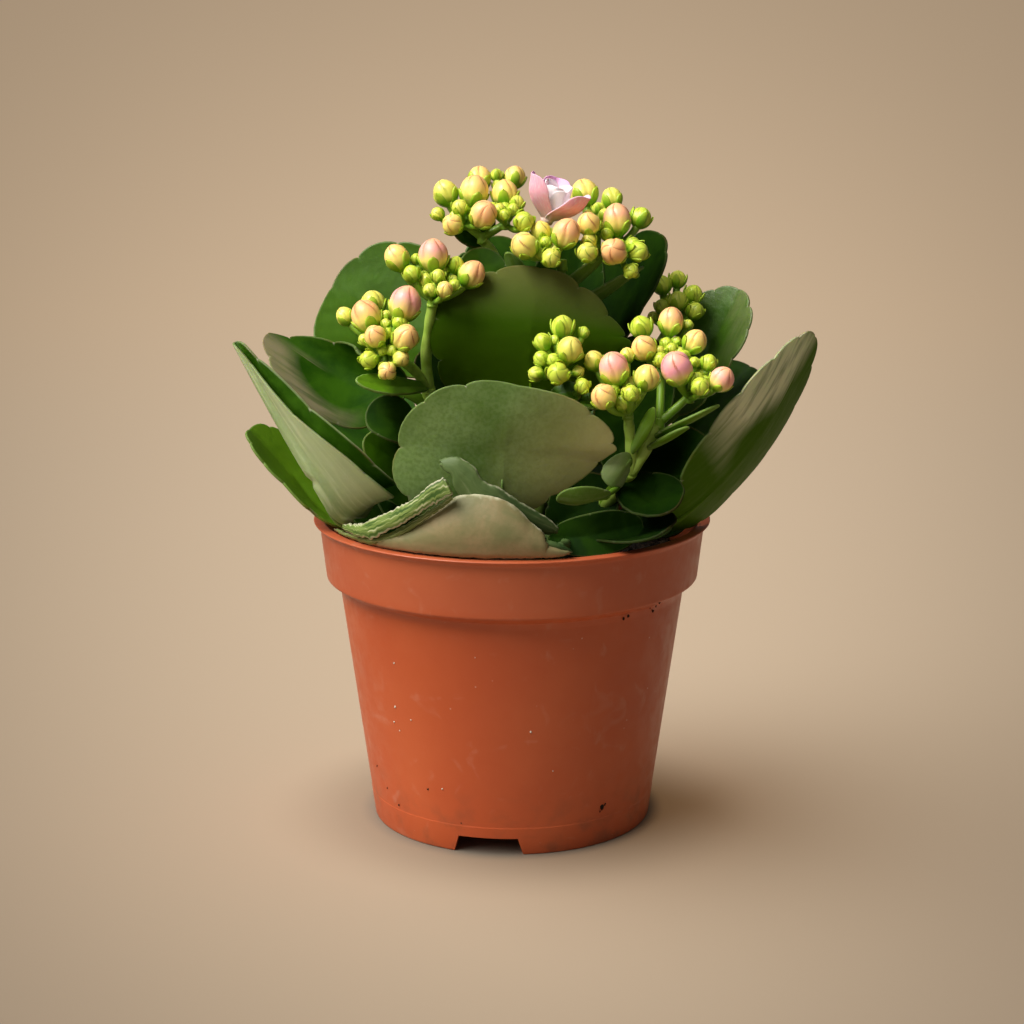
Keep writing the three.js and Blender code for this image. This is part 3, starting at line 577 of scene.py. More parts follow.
@dataclass(frozen=True)
class BudFinish:
    """Waxy bud, green at its foot, yellow above, peach or pink at the tip, with seams between petals."""

    foot: Colour = (0.2, 0.37, 0.015)
    young: Colour = (0.55, 0.66, 0.06)
    yellow: Colour = (0.94, 0.78, 0.18)
    peach: Colour = (0.97, 0.5, 0.22)
    pink: Colour = (0.94, 0.38, 0.43)
    sepal: Colour = (0.15, 0.36, 0.006)
    sepal_tip: Colour = (0.4, 0.55, 0.03)
    crease: Colour = (0.5, 0.14, 0.05)
    green_crease: Colour = (0.2, 0.32, 0.02)
    stalk: Colour = (0.22, 0.4, 0.025)

    def material(self) -> Material:
        """Builds the material.

        Returns:
            The finished material.
        """
        recipe = Recipe("kalanchoe_bud")
        rise, ripe, seam = recipe.value("rise"), recipe.value("ripe"), recipe.value("seam")
        drift = recipe.times(recipe.minus(recipe.noise(300, 3), 0.5), 0.5)
        rise = recipe.plus(rise, drift)
        crown = recipe.coats(
            self.young, (recipe.step(ripe, 0.0, 0.4), self.yellow), (recipe.step(ripe, 0.35, 0.75), self.peach),
            (recipe.step(ripe, 0.7, 1.0), self.pink),
        )
        middle = recipe.mix(recipe.step(ripe, 0.0, 0.65), self.young, self.yellow)
        high = recipe.plus(rise, recipe.times(ripe, 0.28))
        blush = recipe.times(recipe.step(rise, 0.78, 1.05, 0.0, 0.75), recipe.step(ripe, 0.2, 0.4))
        tint = recipe.mix(recipe.step(ripe, 0.2, 0.45), self.green_crease, self.crease)
        line = recipe.times(recipe.step(seam, 0.9, 1.0), recipe.step(rise, 0.45, 0.9, 0.08, 1.0))
        leafy = recipe.mix(recipe.step(rise, 0.2, 0.75), self.sepal, self.sepal_tip)
        colour = recipe.coats(
            self.foot, (recipe.step(rise, 0.12, 0.42), middle), (recipe.step(high, 0.55, 0.98), crown),
            (blush, self.peach), (line, tint), (recipe.value("sepal"), leafy), (recipe.value("stalk"), self.stalk),
        )
        recipe.bump(recipe.noise(900, 3), 0.12, 0.4)
        return recipe.finish(
            colour,
            recipe.step(recipe.noise(400, 3), 0.3, 0.7, 0.36, 0.5),
            Subsurface_Weight=0.18,
            Subsurface_Radius=(1.0, 0.7, 0.3),
            Subsurface_Scale=0.0012,
        )


@dataclass(frozen=True)
class PetalFinish:
    """Pink petal, whitish inside, mauve towards the tip, with fine lengthwise veins."""

    outside: Colour = (0.93, 0.42, 0.55)
    foot: Colour = (0.88, 0.6, 0.5)
    inside: Colour = (0.97, 0.86, 0.88)
    mauve: Colour = (0.72, 0.33, 0.62)

    def material(self) -> Material:
        """Builds the material.

        Returns:
            The finished material.
        """
        recipe = Recipe("kalanchoe_petal")
        rise, pale = recipe.value("rise"), (recipe.value("pale"), self.inside)
        veins = recipe.noise(9.0, 3, recipe.vector(recipe.times(recipe.value("fan"), 4.0), rise, 0.0))
        threads = recipe.step(veins, 0.4, 0.75, 0.0, 0.5)
        outer = recipe.coats(self.foot, (recipe.step(rise, 0.0, 0.45), self.outside), (threads, self.inside), pale)
        inner = recipe.coats(self.inside, (recipe.step(rise, 0.5, 1.0), self.mauve), pale)
        colour = recipe.mix(recipe.value("upper"), outer, inner)
        recipe.bump(veins, 0.1, 0.5)
        return recipe.finish(
            colour, 0.48, Subsurface_Weight=0.2, Subsurface_Radius=(1.0, 0.6, 0.5), Subsurface_Scale=0.001
        )


@dataclass(frozen=True)
class TornFinish:
    """Snapped leaf: beige-green underside, bright torn flesh and whitish ragged edges."""

    beige: Colour = (0.3, 0.235, 0.105)
    beige_green: Colour = (0.19, 0.19, 0.07)
    blush: Colour = (0.36, 0.22, 0.11)
    leafy: Colour = (0.085, 0.15, 0.035)
    leafy_dark: Colour = (0.018, 0.055, 0.005)
    flesh: Colour = (0.21, 0.3, 0.06)
    flesh_dark: Colour = (0.045, 0.11, 0.008)
    fibre: Colour = (0.6, 0.62, 0.34)
    ragged: Colour = (0.62, 0.6, 0.4)

    def material(self) -> Material:
        """Builds the material.

        Returns:
            The finished material.
        """
        recipe = Recipe("torn_leaf")
        rise, run = recipe.value("rise"), recipe.value("run")
        cloud = recipe.noise(110, 4, twist=0.5)
        fleck = recipe.step(recipe.noise(1100, 3), 0.4, 0.7, 0.0, 0.3)
        leafy = recipe.mix(recipe.step(run, 0.3, 0.75), self.leafy, self.leafy_dark)
        skin = recipe.coats(
            self.beige, (recipe.step(cloud, 0.35, 0.65), self.beige_green),
            (recipe.step(rise, 0.45, 0.0, 0.0, 0.6), self.blush), (fleck, self.beige_green),
            (recipe.value("green"), leafy),
        )
        weave = recipe.vector(recipe.times(rise, 1.5), recipe.times(run, 1.1), 0.0)
        threads = recipe.noise(4.0, 6, weave, 0.25)
        bright, pale = recipe.step(threads, 0.36, 0.56), recipe.step(threads, 0.55, 0.66)
        flesh = recipe.coats(self.flesh_dark, (bright, self.flesh), (pale, self.fibre))
        fray = recipe.plus(recipe.value("edge"), recipe.times(recipe.noise(700, 4), 0.35))
        frayed = recipe.step(fray, 0.95, 1.15, 0.0, 0.9)
        colour = recipe.coats(skin, (recipe.value("torn"), flesh), (frayed, self.ragged))
        relief = recipe.plus(recipe.noise(500, 5), recipe.times(threads, recipe.value("torn")))
        recipe.bump(relief, 0.35, 0.4)
        return recipe.finish(colour, 0.6)


# ---- Pot and soil ----


@dataclass
class Pot:
    """Tapered nursery pot with a rolled lip, a band, a notched foot ring and drain holes."""

    height: float = 70.0
    lip_radius: float = 45.0
    lip_depth: float = 0.5
    band_top: float = 43.6
    band_foot: float = 42.25
    band_foot_z: float = 57.0
    wall_top: float = 39.07
    wall_top_z: float = 53.4
    foot_radius: float = 31.85
    wall: float = 1.3
    foot_width: float = 2.4
    floor_z: float = 4.0
    floor_thickness: float = 1.4
    notch_width: float = 15.5
    notch_height: float = 3.9
    notch_slant: float = 1.1
    notch_bearings: tuple[float, ...] = (-99.6, 20.4, 140.4)
    drain_radius: float = 3.0
    drain_circle: float = 18.0
    facets: int = 180
    round_over: float = 0.35
    sharp: float = 38.0

    @staticmethod
    def axis() -> Array:
        """The pot's axis in the part's frame, in millimetres."""
        low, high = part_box("pot")
        return np.array([(low.x + high.x) / 2, (low.y + high.y) / 2, 0.0]) / MM

    def profile(self) -> list[Pair]:
        """Outline of the wall, from the axis below the floor round to the axis above it.

        Returns:
            Radius and height of each corner.
        """
        band_z = self.height - 2 * self.lip_depth
        floor_top = self.floor_z + self.floor_thickness
        return [
            (0, self.floor_z), (self.foot_radius - self.foot_width, self.floor_z),
            (self.foot_radius - self.foot_width, 0), (self.foot_radius, 0),
            (self.foot_radius + 0.86, 6.3), (self.foot_radius + 0.8, 6.5), (self.wall_top, self.wall_top_z),
            (self.wall_top + 0.5, self.wall_top_z + 1.6), (self.band_foot, self.band_foot_z - 0.4),
            (self.band_foot + 0.1, self.band_foot_z + 0.6), (self.band_top, band_z - 0.7),
            (self.lip_radius - 0.5, band_z + 0.2), (self.lip_radius, self.height - self.lip_depth),
            (self.lip_radius - 0.1, self.height - 0.2), (self.band_top - self.wall + 0.5, self.height),
            (self.band_top - self.wall, self.height - 1), (self.band_foot - self.wall, self.band_foot_z + 1),
            (self.wall_top - self.wall, self.wall_top_z), (self.foot_radius + 0.9 - self.wall, floor_top),
            (0, floor_top),
        ]

    def rounded(self) -> Array:
        """The outline with its corners rounded over.

        Returns:
            Radius and height of each place, one a row.
        """
        corners = np.array(self.profile(), float)
        path = [corners[0]]
        for before, corner, after in zip(corners, corners[1:], corners[2:]):
            back, ahead = before - corner, after - corner
            reach = min(self.round_over, 0.4 * np.linalg.norm(back), 0.4 * np.linalg.norm(ahead))
            start, stop = corner + unit(back) * reach, corner + unit(ahead) * reach
            for t in (0.0, 0.33, 0.67, 1.0):
                path.append((1 - t) ** 2 * start + 2 * t * (1 - t) * corner + t * t * stop)
        return np.array([*path, corners[-1]])

    def block(self, rings: Array) -> Mesh:
        """Plain closed mesh over a row of rings.

        Args:
            rings: places, as [ring, point, xyz].

        Returns:
            The new mesh, in metres in the part's frame.
        """
        draft = Draft(())
        draft.skin(rings)
        return draft.mesh("block")

    def notch(self, bearing: float) -> Mesh:
        """Block that cuts one slanted notch through the foot ring.

        Args:
            bearing: degrees from the x axis to the notch.

        Returns:
            The block's mesh.
        """
        low, high = self.notch_width / 2, self.notch_width / 2 - self.notch_slant
        outline = [(-low, -1), (low, -1), (low, 0), (high, self.notch_height), (-high, self.notch_height), (-low, 0)]
        turn = math.radians(bearing)
        out, side = np.array([math.cos(turn), math.sin(turn), 0]), np.array([-math.sin(turn), math.cos(turn), 0])
        inner, outer = self.foot_radius - 2 * self.foot_width, self.foot_radius + 3
        return self.block(np.array([[side * u + out * r + UP * z for u, z in outline] for r in (inner, outer)]))

    def drain(self, distance: float, bearing: float) -> Mesh:
        """Round block that cuts one hole through the floor.

        Args:
            distance: from the pot's axis to the hole's.
            bearing: angle from the x axis to the hole.

        Returns:
            The block's mesh.
        """
        outline = np.array([[self.drain_radius, self.floor_z - 2], [self.drain_radius, self.floor_z + 4]])
        middle = np.array([distance * math.cos(bearing), distance * math.sin(bearing), 0.0])
        return self.block(turned_rings(outline, 24) + middle)

    def build(self, finish: Material) -> Object:
        """Makes the pot and cuts its notches and drain holes.

        Args:
            finish: its material.

        Returns:
            The pot.
        """
        shell = self.block(turned_rings(self.rounded()[1:-1], self.facets))
        pot = placed("pot_shell", shell, finish, ("pot",))
        cutters = [self.notch(bearing) for bearing in self.notch_bearings]
        cutters += [self.drain(self.drain_circle, k * math.pi / 3) for k in range(6)]
        cutters.append(self.drain(0, 0))
        for mesh in cutters:
            cut = pot.modifiers.new("cut", "BOOLEAN")
            cut.operation, cut.solver, cut.object = "DIFFERENCE", "EXACT", in_scene("cutter", mesh)
        bpy.context.view_layer.update()
        graph = bpy.context.evaluated_depsgraph_get()
        shape = bpy.data.meshes.new_from_object(pot.evaluated_get(graph))
        for cutter in [cut.object for cut in pot.modifiers]:
            bpy.data.objects.remove(cutter)
        pot.modifiers.clear()
        pot.data = shape
        shape.polygons.foreach_set("use_smooth", np.ones(len(shape.polygons), bool))
        shape.set_sharp_from_angle(angle=math.radians(self.sharp))
        return pot

    def radius_at(self, height: float) -> float:
        """Outer radius at a height.

        Args:
            height: above the ground.

        Returns:
            The radius.
        """
        steps = [(0, self.foot_radius), (self.wall_top_z, self.wall_top), (self.band_foot_z, self.band_foot),
                 (self.height - 2 * self.lip_depth, self.band_top), (self.height, self.lip_radius)]
        return float(np.interp(height, [z for z, _ in steps], [r for _, r in steps]))


@dataclass
class Crumbs:
    """Bits of soil and dust that stick to the pot's outside: bearing from the front, height and size."""

    soil: tuple[Place, ...] = (
        (37.3, 9.1, 1.05), (38.6, 9.6, 0.5), (36.4, 8.2, 0.4), (50, 56.5, 0.75), (51.5, 53.8, 0.55),
        (50.6, 55.2, 0.4), (38.8, 54.5, 0.6), (37.6, 53.9, 0.5), (-65, 14.6, 0.4), (-33.5, 14, 0.4),
        (-50.7, 7.6, 0.4), (-58, 10.5, 0.3), (47.6, 55.2, 0.3), (-20, 7, 0.25),
    )
    dust: tuple[Place, ...] = (
        (-43.3, 42.8, 0.4), (-45.5, 32.1, 0.5), (-38.2, 30, 0.3), (-47, 28.3, 0.3), (6.5, 29.7, 0.4),
        (-27, 14.7, 0.3), (-44.4, 26.6, 0.25), (-12, 47, 0.22), (15, 20, 0.2),
    )

    def build(self, pot: Pot, soil_finish: Material, dust_finish: Material) -> None:
        """Makes the two sets of crumbs.

        Args:
            pot: what they stick to.
            soil_finish: the soil's material.
            dust_finish: the dust's material.
        """
        rng = np.random.default_rng(11)
        for name, crumbs, finish in (("soil_crumbs", self.soil, soil_finish), ("dust_crumbs", self.dust, dust_finish)):
            draft = Draft(())
            for bearing, height, size in crumbs:
                turn = math.radians(bearing)
                out = np.array([math.sin(turn), -math.cos(turn), 0.0])
                lump(draft, out * pot.radius_at(height) + UP * height, size * 0.62, rng, out)
            draft.piece(name, finish, "soil", ())


def lump(draft: Draft, place: Array, radius: float, rng: np.random.Generator, flat: Array = UP) -> None:
    """Adds one small uneven grain.

    Args:
        draft: the mesh to add it to.
        place: its middle.
        radius: its mean radius.
        rng: the source of its unevenness.
        flat: the way in which it is flattened.
    """
    latitude = np.linspace(-1.25, 1.25, 4)
    globe = turned_rings(np.stack([np.cos(latitude), np.sin(latitude)], -1), 6, rng.uniform(0, 1))
    rings = globe * radius * rng.uniform(0.6, 1.35, globe.shape[:2])[..., None]
    rings -= 0.45 * (rings @ flat)[..., None] * flat
    draft.skin(rings + place)


@dataclass
class SoilBed:
    """Mounded soil with loose grains on top."""

    top: float = 60.0
    mound: float = 1.4
    bottom: float = 5.7
    facets: int = 96
    grains: int = 900
    grains_reach: float = 40.0

    def height(self, x: Array | float, y: Array | float) -> Array | float:
        """Height of the uneven top.

        Args:
            x: places' x from the pot's axis.
            y: their y.

        Returns:
            The height at each.
        """
        reach = np.hypot(x, y)
        swell = self.mound * np.clip(1 - reach / 41, 0, 1) ** 0.7
        return self.top + swell + 0.5 * np.sin(0.9 * x + 1.7 * y) + 0.4 * np.cos(1.3 * x - 0.8 * y)

    def build(self, pot: Pot, finish: Material) -> None:
        """Makes the bed and scatters its grains.

        Args:
            pot: what it fills.
            finish: its material.
        """
        gap = pot.wall + 0.3
        foot, wall = (pot.foot_radius + 0.6 - gap, self.bottom), (pot.wall_top - gap, pot.wall_top_z)
        below = turned_rings(np.array([(1, self.bottom), foot, wall]), self.facets)
        radii = np.linspace(pot.band_foot - gap, 0.5, 40)
        top = turned_rings(np.stack([radii, 0 * radii], -1), self.facets)
        top[..., 2] = self.height(top[..., 0], top[..., 1])
        draft = Draft(())
        draft.skin(np.concatenate([below, top]))
        rng = np.random.default_rng(3)
        for _ in range(self.grains):
            reach, turn = self.grains_reach * math.sqrt(rng.uniform()), rng.uniform(0, 2 * math.pi)
            x, y = reach * math.cos(turn), reach * math.sin(turn)
            size = 0.35 + 1.1 * rng.uniform() ** 3
            lump(draft, np.array([x, y, self.height(x, y) + 0.3 * size]), size, rng)
        draft.piece("soil_bed", finish, "soil", ("soil",))


# ---- Leaves ----

# Angle from the tip, in radians, up to which a blade's margin is scalloped.
LOBED = 2.3


@dataclass(frozen=True)
class Leaf:
    """One leaf. Pairs are for the left and right half, seen from above with the tip ahead.

    Args:
        root, neck, belly, tip: places of the midrib: foot of the stalk, start, middle and end of the blade.
        face: the way that its upper side faces.
        half: half its width.
        lobes: scallops on either side.
        depth: how deep they are, as a share of the blade.
        egg: how much wider it is towards the tip.
        crease: how far both halves turn up at the midrib, in radians.
        fold: how much further each half turns up towards its margin.
        twist: turn about the midrib from neck to tip.
        thickness: its thickness at the midrib.
        tone: painted light, how far its green is lifted towards a sunlit green.
        grey: how grey it is below.
        streaked: how streaked it is below.
        taper: how much narrower each half is at the neck.
        point: how much narrower each half is at the tip.
        worn: how worn each half is at its margin.
        warm: how brownish it is below.
        warm_way: where that shows: at the middle, and how it grows across and along.
        light: how pale it is below.
        painted_sunlight_fall: how fast that painted light fades towards the tip.
        dim: painted shade, how far its colour is darkened towards black for a leaf deep in shade.
        blunt: how square its outline is.
        gloss: how glossy it is.
    """

    root: Place
    neck: Place
    belly: Place
    tip: Place
    face: Place
    half: float
    lobes: int = 1
    depth: float = 0.0
    egg: float = 0.1
    crease: float = 0.15
    fold: Pair = (0.15, 0.15)
    twist: float = 0.0
    thickness: float = 1.4
    tone: float = 0.0
    grey: float = 0.4
    streaked: float = 0.2
    taper: Pair = (0.0, 0.0)
    point: Pair = (0.0, 0.0)
    worn: Pair = (0.0, 0.0)
    warm: float = 0.0
    warm_way: Place = (0.35, -0.8, -0.5)
    light: float = 0.0
    painted_sunlight_fall: float = 0.0
    dim: float = 0.0
    blunt: float = 0.0
    gloss: float = 0.3

    def frame(self, share: Array, turn: Array) -> tuple[Array, ...]:
        """Midrib's frame.

        Args:
            share: how far along the whole leaf, from root to tip.
            turn: turn about the midrib there.

        Returns:
            The midrib's places, the ways up from them and the ways to the right.
        """
        place, along = curve_at([self.root, self.neck, self.belly, self.tip], share)
        face = np.array(self.face, float)
        up = unit(face - (along @ face)[..., None] * along)
        up = turned_by(up, along, turn)
        return place, up, np.cross(along, up)

    def at(self, a: Array, b: Array) -> Array:
        """Places of the blade's middle surface.

        Args:
            a: how far along from neck to tip.
            b: how far across from -1 to 1.

        Returns:
            The places.
        """
        place, up, side = self.frame((1 + 2 * a) / 3, self.twist * a)
        width = np.abs(b)
        ease = 1 - (1 - np.minimum(width / 0.25, 1)) ** 2
        lift = self.crease * ease + np.where(b > 0, self.fold[1], self.fold[0]) * width
        out = (b * np.cos(lift) * self.half)[..., None]
        return place + side * out + up * (width * np.sin(lift) * self.half)[..., None]

    def normal(self, a: Array, b: Array) -> Array:
        """Unit normals of the upper side.

        Args:
            a: how far along from neck to tip.
            b: how far across from -1 to 1.

        Returns:
            The normals.
        """
        step = 4e-3
        along = self.at(a + step, b) - self.at(a - step, b)
        across = self.at(a, b + step) - self.at(a, b - step)
        return unit(np.cross(across, along))


@dataclass
class BladeMaker:
    """Adds fine leaves to a draft: blade with scalloped margin, and stalk.

    Args:
        rings: rings of the blade from middle to margin.
        samples: points of the margin on each scallop.
        names: the values that its points carry.
        small: half width up to which a leaf has a thin stalk.
        stalk_radii: radius of a stalk at its foot and higher up.
        thin_radii: the same for a thin one.
        waves: how uneven the blade and its margin are, as shares of half its width.
        vein_width: width of the midrib.
        vein_depths: how deep it is sunk above and how far it stands out below.
    """

    rings: int = 18
    samples: int = 9
    names: tuple[str, ...] = (
        "upper", "edge", "fan", "reach", "seed", "tone", "grey", "streaked", "scar", "stalk", "worn", "warm", "dim",
        "gloss", "light",
    )
    small: float = 6.6
    stalk_radii: Pair = (1.6, 0.9)
    thin_radii: Pair = (0.9, 0.6)
    waves: Pair = (0.012, 0.022)
    vein_width: float = 1.1
    vein_depths: Pair = (0.25, 0.3)

    def angles(self, lobes: int) -> Array:
        """Angles round a blade's outline, closest together at the notches.

        Args:
            lobes: scallops on either side.

        Returns:
            The angles from the tip.
        """
        into = (1 - np.cos(np.pi * np.arange(self.samples) / self.samples)) / 2
        side = ((np.arange(lobes)[:, None] + into) * LOBED / lobes).ravel()
        base = np.linspace(LOBED, np.pi, 10)[:-1]
        side = np.concatenate([side, base])
        return np.concatenate([side, [np.pi], -side[:0:-1]])

    def outline(self, leaf: Leaf, angle: Array, rng: np.random.Generator) -> tuple[Array, ...]:
        """Outline of a blade.

        Args:
            leaf: the leaf.
            angle: angles from the tip.
            rng: the source of its unevenness.

        Returns:
            Reach along and across at each angle, depth cut off there, and how deep in a notch it is.
        """
        lobe = np.abs(angle) / LOBED * leaf.lobes
        into = lobe - np.floor(lobe + 1e-6)
        arch = np.sqrt(np.maximum(np.sin(np.pi * into), 0))
        scalloped = np.abs(angle) <= LOBED + 1e-6
        notch = np.where(scalloped, (1 - arch) * np.clip(2 * lobe, 0.35, 1), 0)
        uneven = rng.uniform(0.6, 1.35, 2 * leaf.lobes + 2)
        which = np.clip(np.round(lobe), 0, leaf.lobes).astype(int) + np.where(angle < 0, leaf.lobes, 0)
        reach = 1 - leaf.depth * notch * uneven[which]
        base = ((1 - np.cos(angle)) / 2) ** 4
        across = np.sin(angle) * np.maximum(np.abs(np.sin(angle)), 1e-6) ** -leaf.blunt
        across = across * (1 + leaf.egg * np.cos(angle)) * (1 - 0.25 * base)
        right, low, high = angle > 0, (1 - np.cos(angle)) / 2, (1 + np.cos(angle)) / 2
        across = across * (1 - np.where(right, leaf.taper[1], leaf.taper[0]) * low**3)
        across = across * (1 - np.where(right, leaf.point[1], leaf.point[0]) * high**2)
        return np.cos(angle), across, 1 - reach, notch

    def add(self, draft: Draft, leaf: Leaf, seed: int, keel: float = 0.3) -> None:
        """Adds one leaf.

        Args:
            draft: the mesh to add it to.
            leaf: the leaf.
            seed: picks its small unevenness.
            keel: how far along the blade its stalk runs on.
        """
        rng = np.random.default_rng(seed)
        angle = self.angles(leaf.lobes)
        along, across, cut, notch = self.outline(leaf, angle, rng)
        ring = np.sin(np.linspace(0, np.pi / 2, self.rings + 1)[1:])[:, None]
        inside = ring * (1 - cut * ring**5)
        a, b = 0.5 + 0.5 * inside * along, inside * across
        middle, normal = leaf.at(a, b), leaf.normal(a, b)
        phase = rng.uniform(0, 2 * np.pi, 4)
        wave = self.waves[0] * leaf.half * np.sin(5 * a + phase[0]) * np.sin(4.2 * b + phase[1])
        wave += self.waves[1] * leaf.half * ring**3 * np.sin(3.1 * angle + phase[2])
        middle = middle + normal * wave[..., None]
        depth = 0.42 * leaf.thickness * (1 - 0.5 * ring**3)
        vein = np.exp(-((b * leaf.half / self.vein_width) ** 2)) * np.clip(1 - 1.2 * a, 0, 1)
        above = middle + normal * (depth - self.vein_depths[0] * vein)[..., None]
        below = middle - normal * (depth + self.vein_depths[1] * vein)[..., None]
        outward_way = unit(middle[-1] - middle[-2])
        edge_depth = float(depth[-1, 0])
        turns = np.radians([30, 60, 90, 120, 150])[:, None, None]
        rim = middle[-1] + edge_depth * (normal[-1] * np.cos(turns) + 0.9 * outward_way * np.sin(turns))
        rows = np.concatenate([above, rim, below[::-1]])

        def both(inner: Array, at_rim: Array | None = None) -> Array:
            """Values for the upper rings, the rim and the lower rings in turn."""
            at_rim = inner[-1] if at_rim is None else at_rim
            return np.concatenate([inner, np.broadcast_to(at_rim, rim.shape[:2]), inner[::-1]])

        full = np.ones_like(a)
        upper = np.concatenate([full, np.linspace(1, 0, 5)[:, None] * full[:5], 0 * full])
        span = np.linalg.norm(np.array(leaf.tip, float) - np.array(leaf.neck, float))
        fan, reach = b * leaf.half / 7, a * span / 20
        scar = np.where(notch > 0.75, 1, 0) * np.clip((ring - 0.96) / 0.04, 0, 1) * rng.uniform(0, 0.4, len(angle))
        scar = scar * (1 - leaf.dim)
        sides = leaf.worn[0] + (leaf.worn[1] - leaf.worn[0]) * np.clip(0.5 + 4 * b, 0, 1)
        worn = sides * np.clip((ring - np.where(b > 0, 0.3, 0.58)) / 0.22, 0, 1) * np.clip(4 * (a - 0.3), 0, 1)
        base, across_way, along_way = leaf.warm_way
        warm = leaf.warm * np.clip(base + across_way * b + along_way * (a - 0.5), 0, 1)
        light = leaf.light * np.clip(0.35 + 1.3 * np.abs(b), 0, 1) * np.clip(0.25 + 2.2 * a, 0, 1)
        # Painted light, fading from the neck towards the tip by painted_sunlight_fall.
        tone = leaf.tone * np.clip(1 - leaf.painted_sunlight_fall * a, 0, 1)
        draft.skin(
            rows, worn=both(worn), warm=both(warm), dim=leaf.dim, upper=upper, edge=both(full * ring, np.array(1.02)),
            fan=both(fan), reach=both(reach), scar=both(scar), seed=float(seed), tone=both(tone), grey=leaf.grey,
            streaked=leaf.streaked, gloss=leaf.gloss, light=both(light),
        )
        if keel > 0:
            self.stalk(draft, leaf, keel)

    def stalk(self, draft: Draft, leaf: Leaf, keel: float) -> None:
        """Adds a leaf's stalk, which runs on under the blade and fades into it.

        Args:
            draft: the mesh to add it to.
            leaf: the leaf.
            keel: how far along the blade it runs on.
        """
        end = (1 + 2 * keel) / 3
        share = np.linspace(0, end, 24)
        place, up, side = leaf.frame(share, leaf.twist * np.maximum(1.5 * share - 0.5, 0))
        over = np.clip((share - 1 / 3) / (end - 1 / 3), 0, 1)
        start, stop = self.stalk_radii if leaf.half > self.small else self.thin_radii
        radius = start + (stop - start) * np.minimum(share * 2.5, 1)
        radius = radius * (1 - 0.75 * over)
        place = place - up * (0.5 * leaf.thickness * np.minimum(over * 4, 1))[:, None]
        angle = circle(12)[:, None]
        spokes = side[:, None] * np.cos(angle) * 1.12 + up[:, None] * np.sin(angle) * 0.9
        rings = place[:, None] + spokes * radius[:, None, None]
        draft.skin(
            rings, stalk=(1 - over)[:, None], grey=leaf.grey, seed=1.0, tone=leaf.tone, dim=leaf.dim, gloss=leaf.gloss,
            light=0.35 * leaf.light,
        )


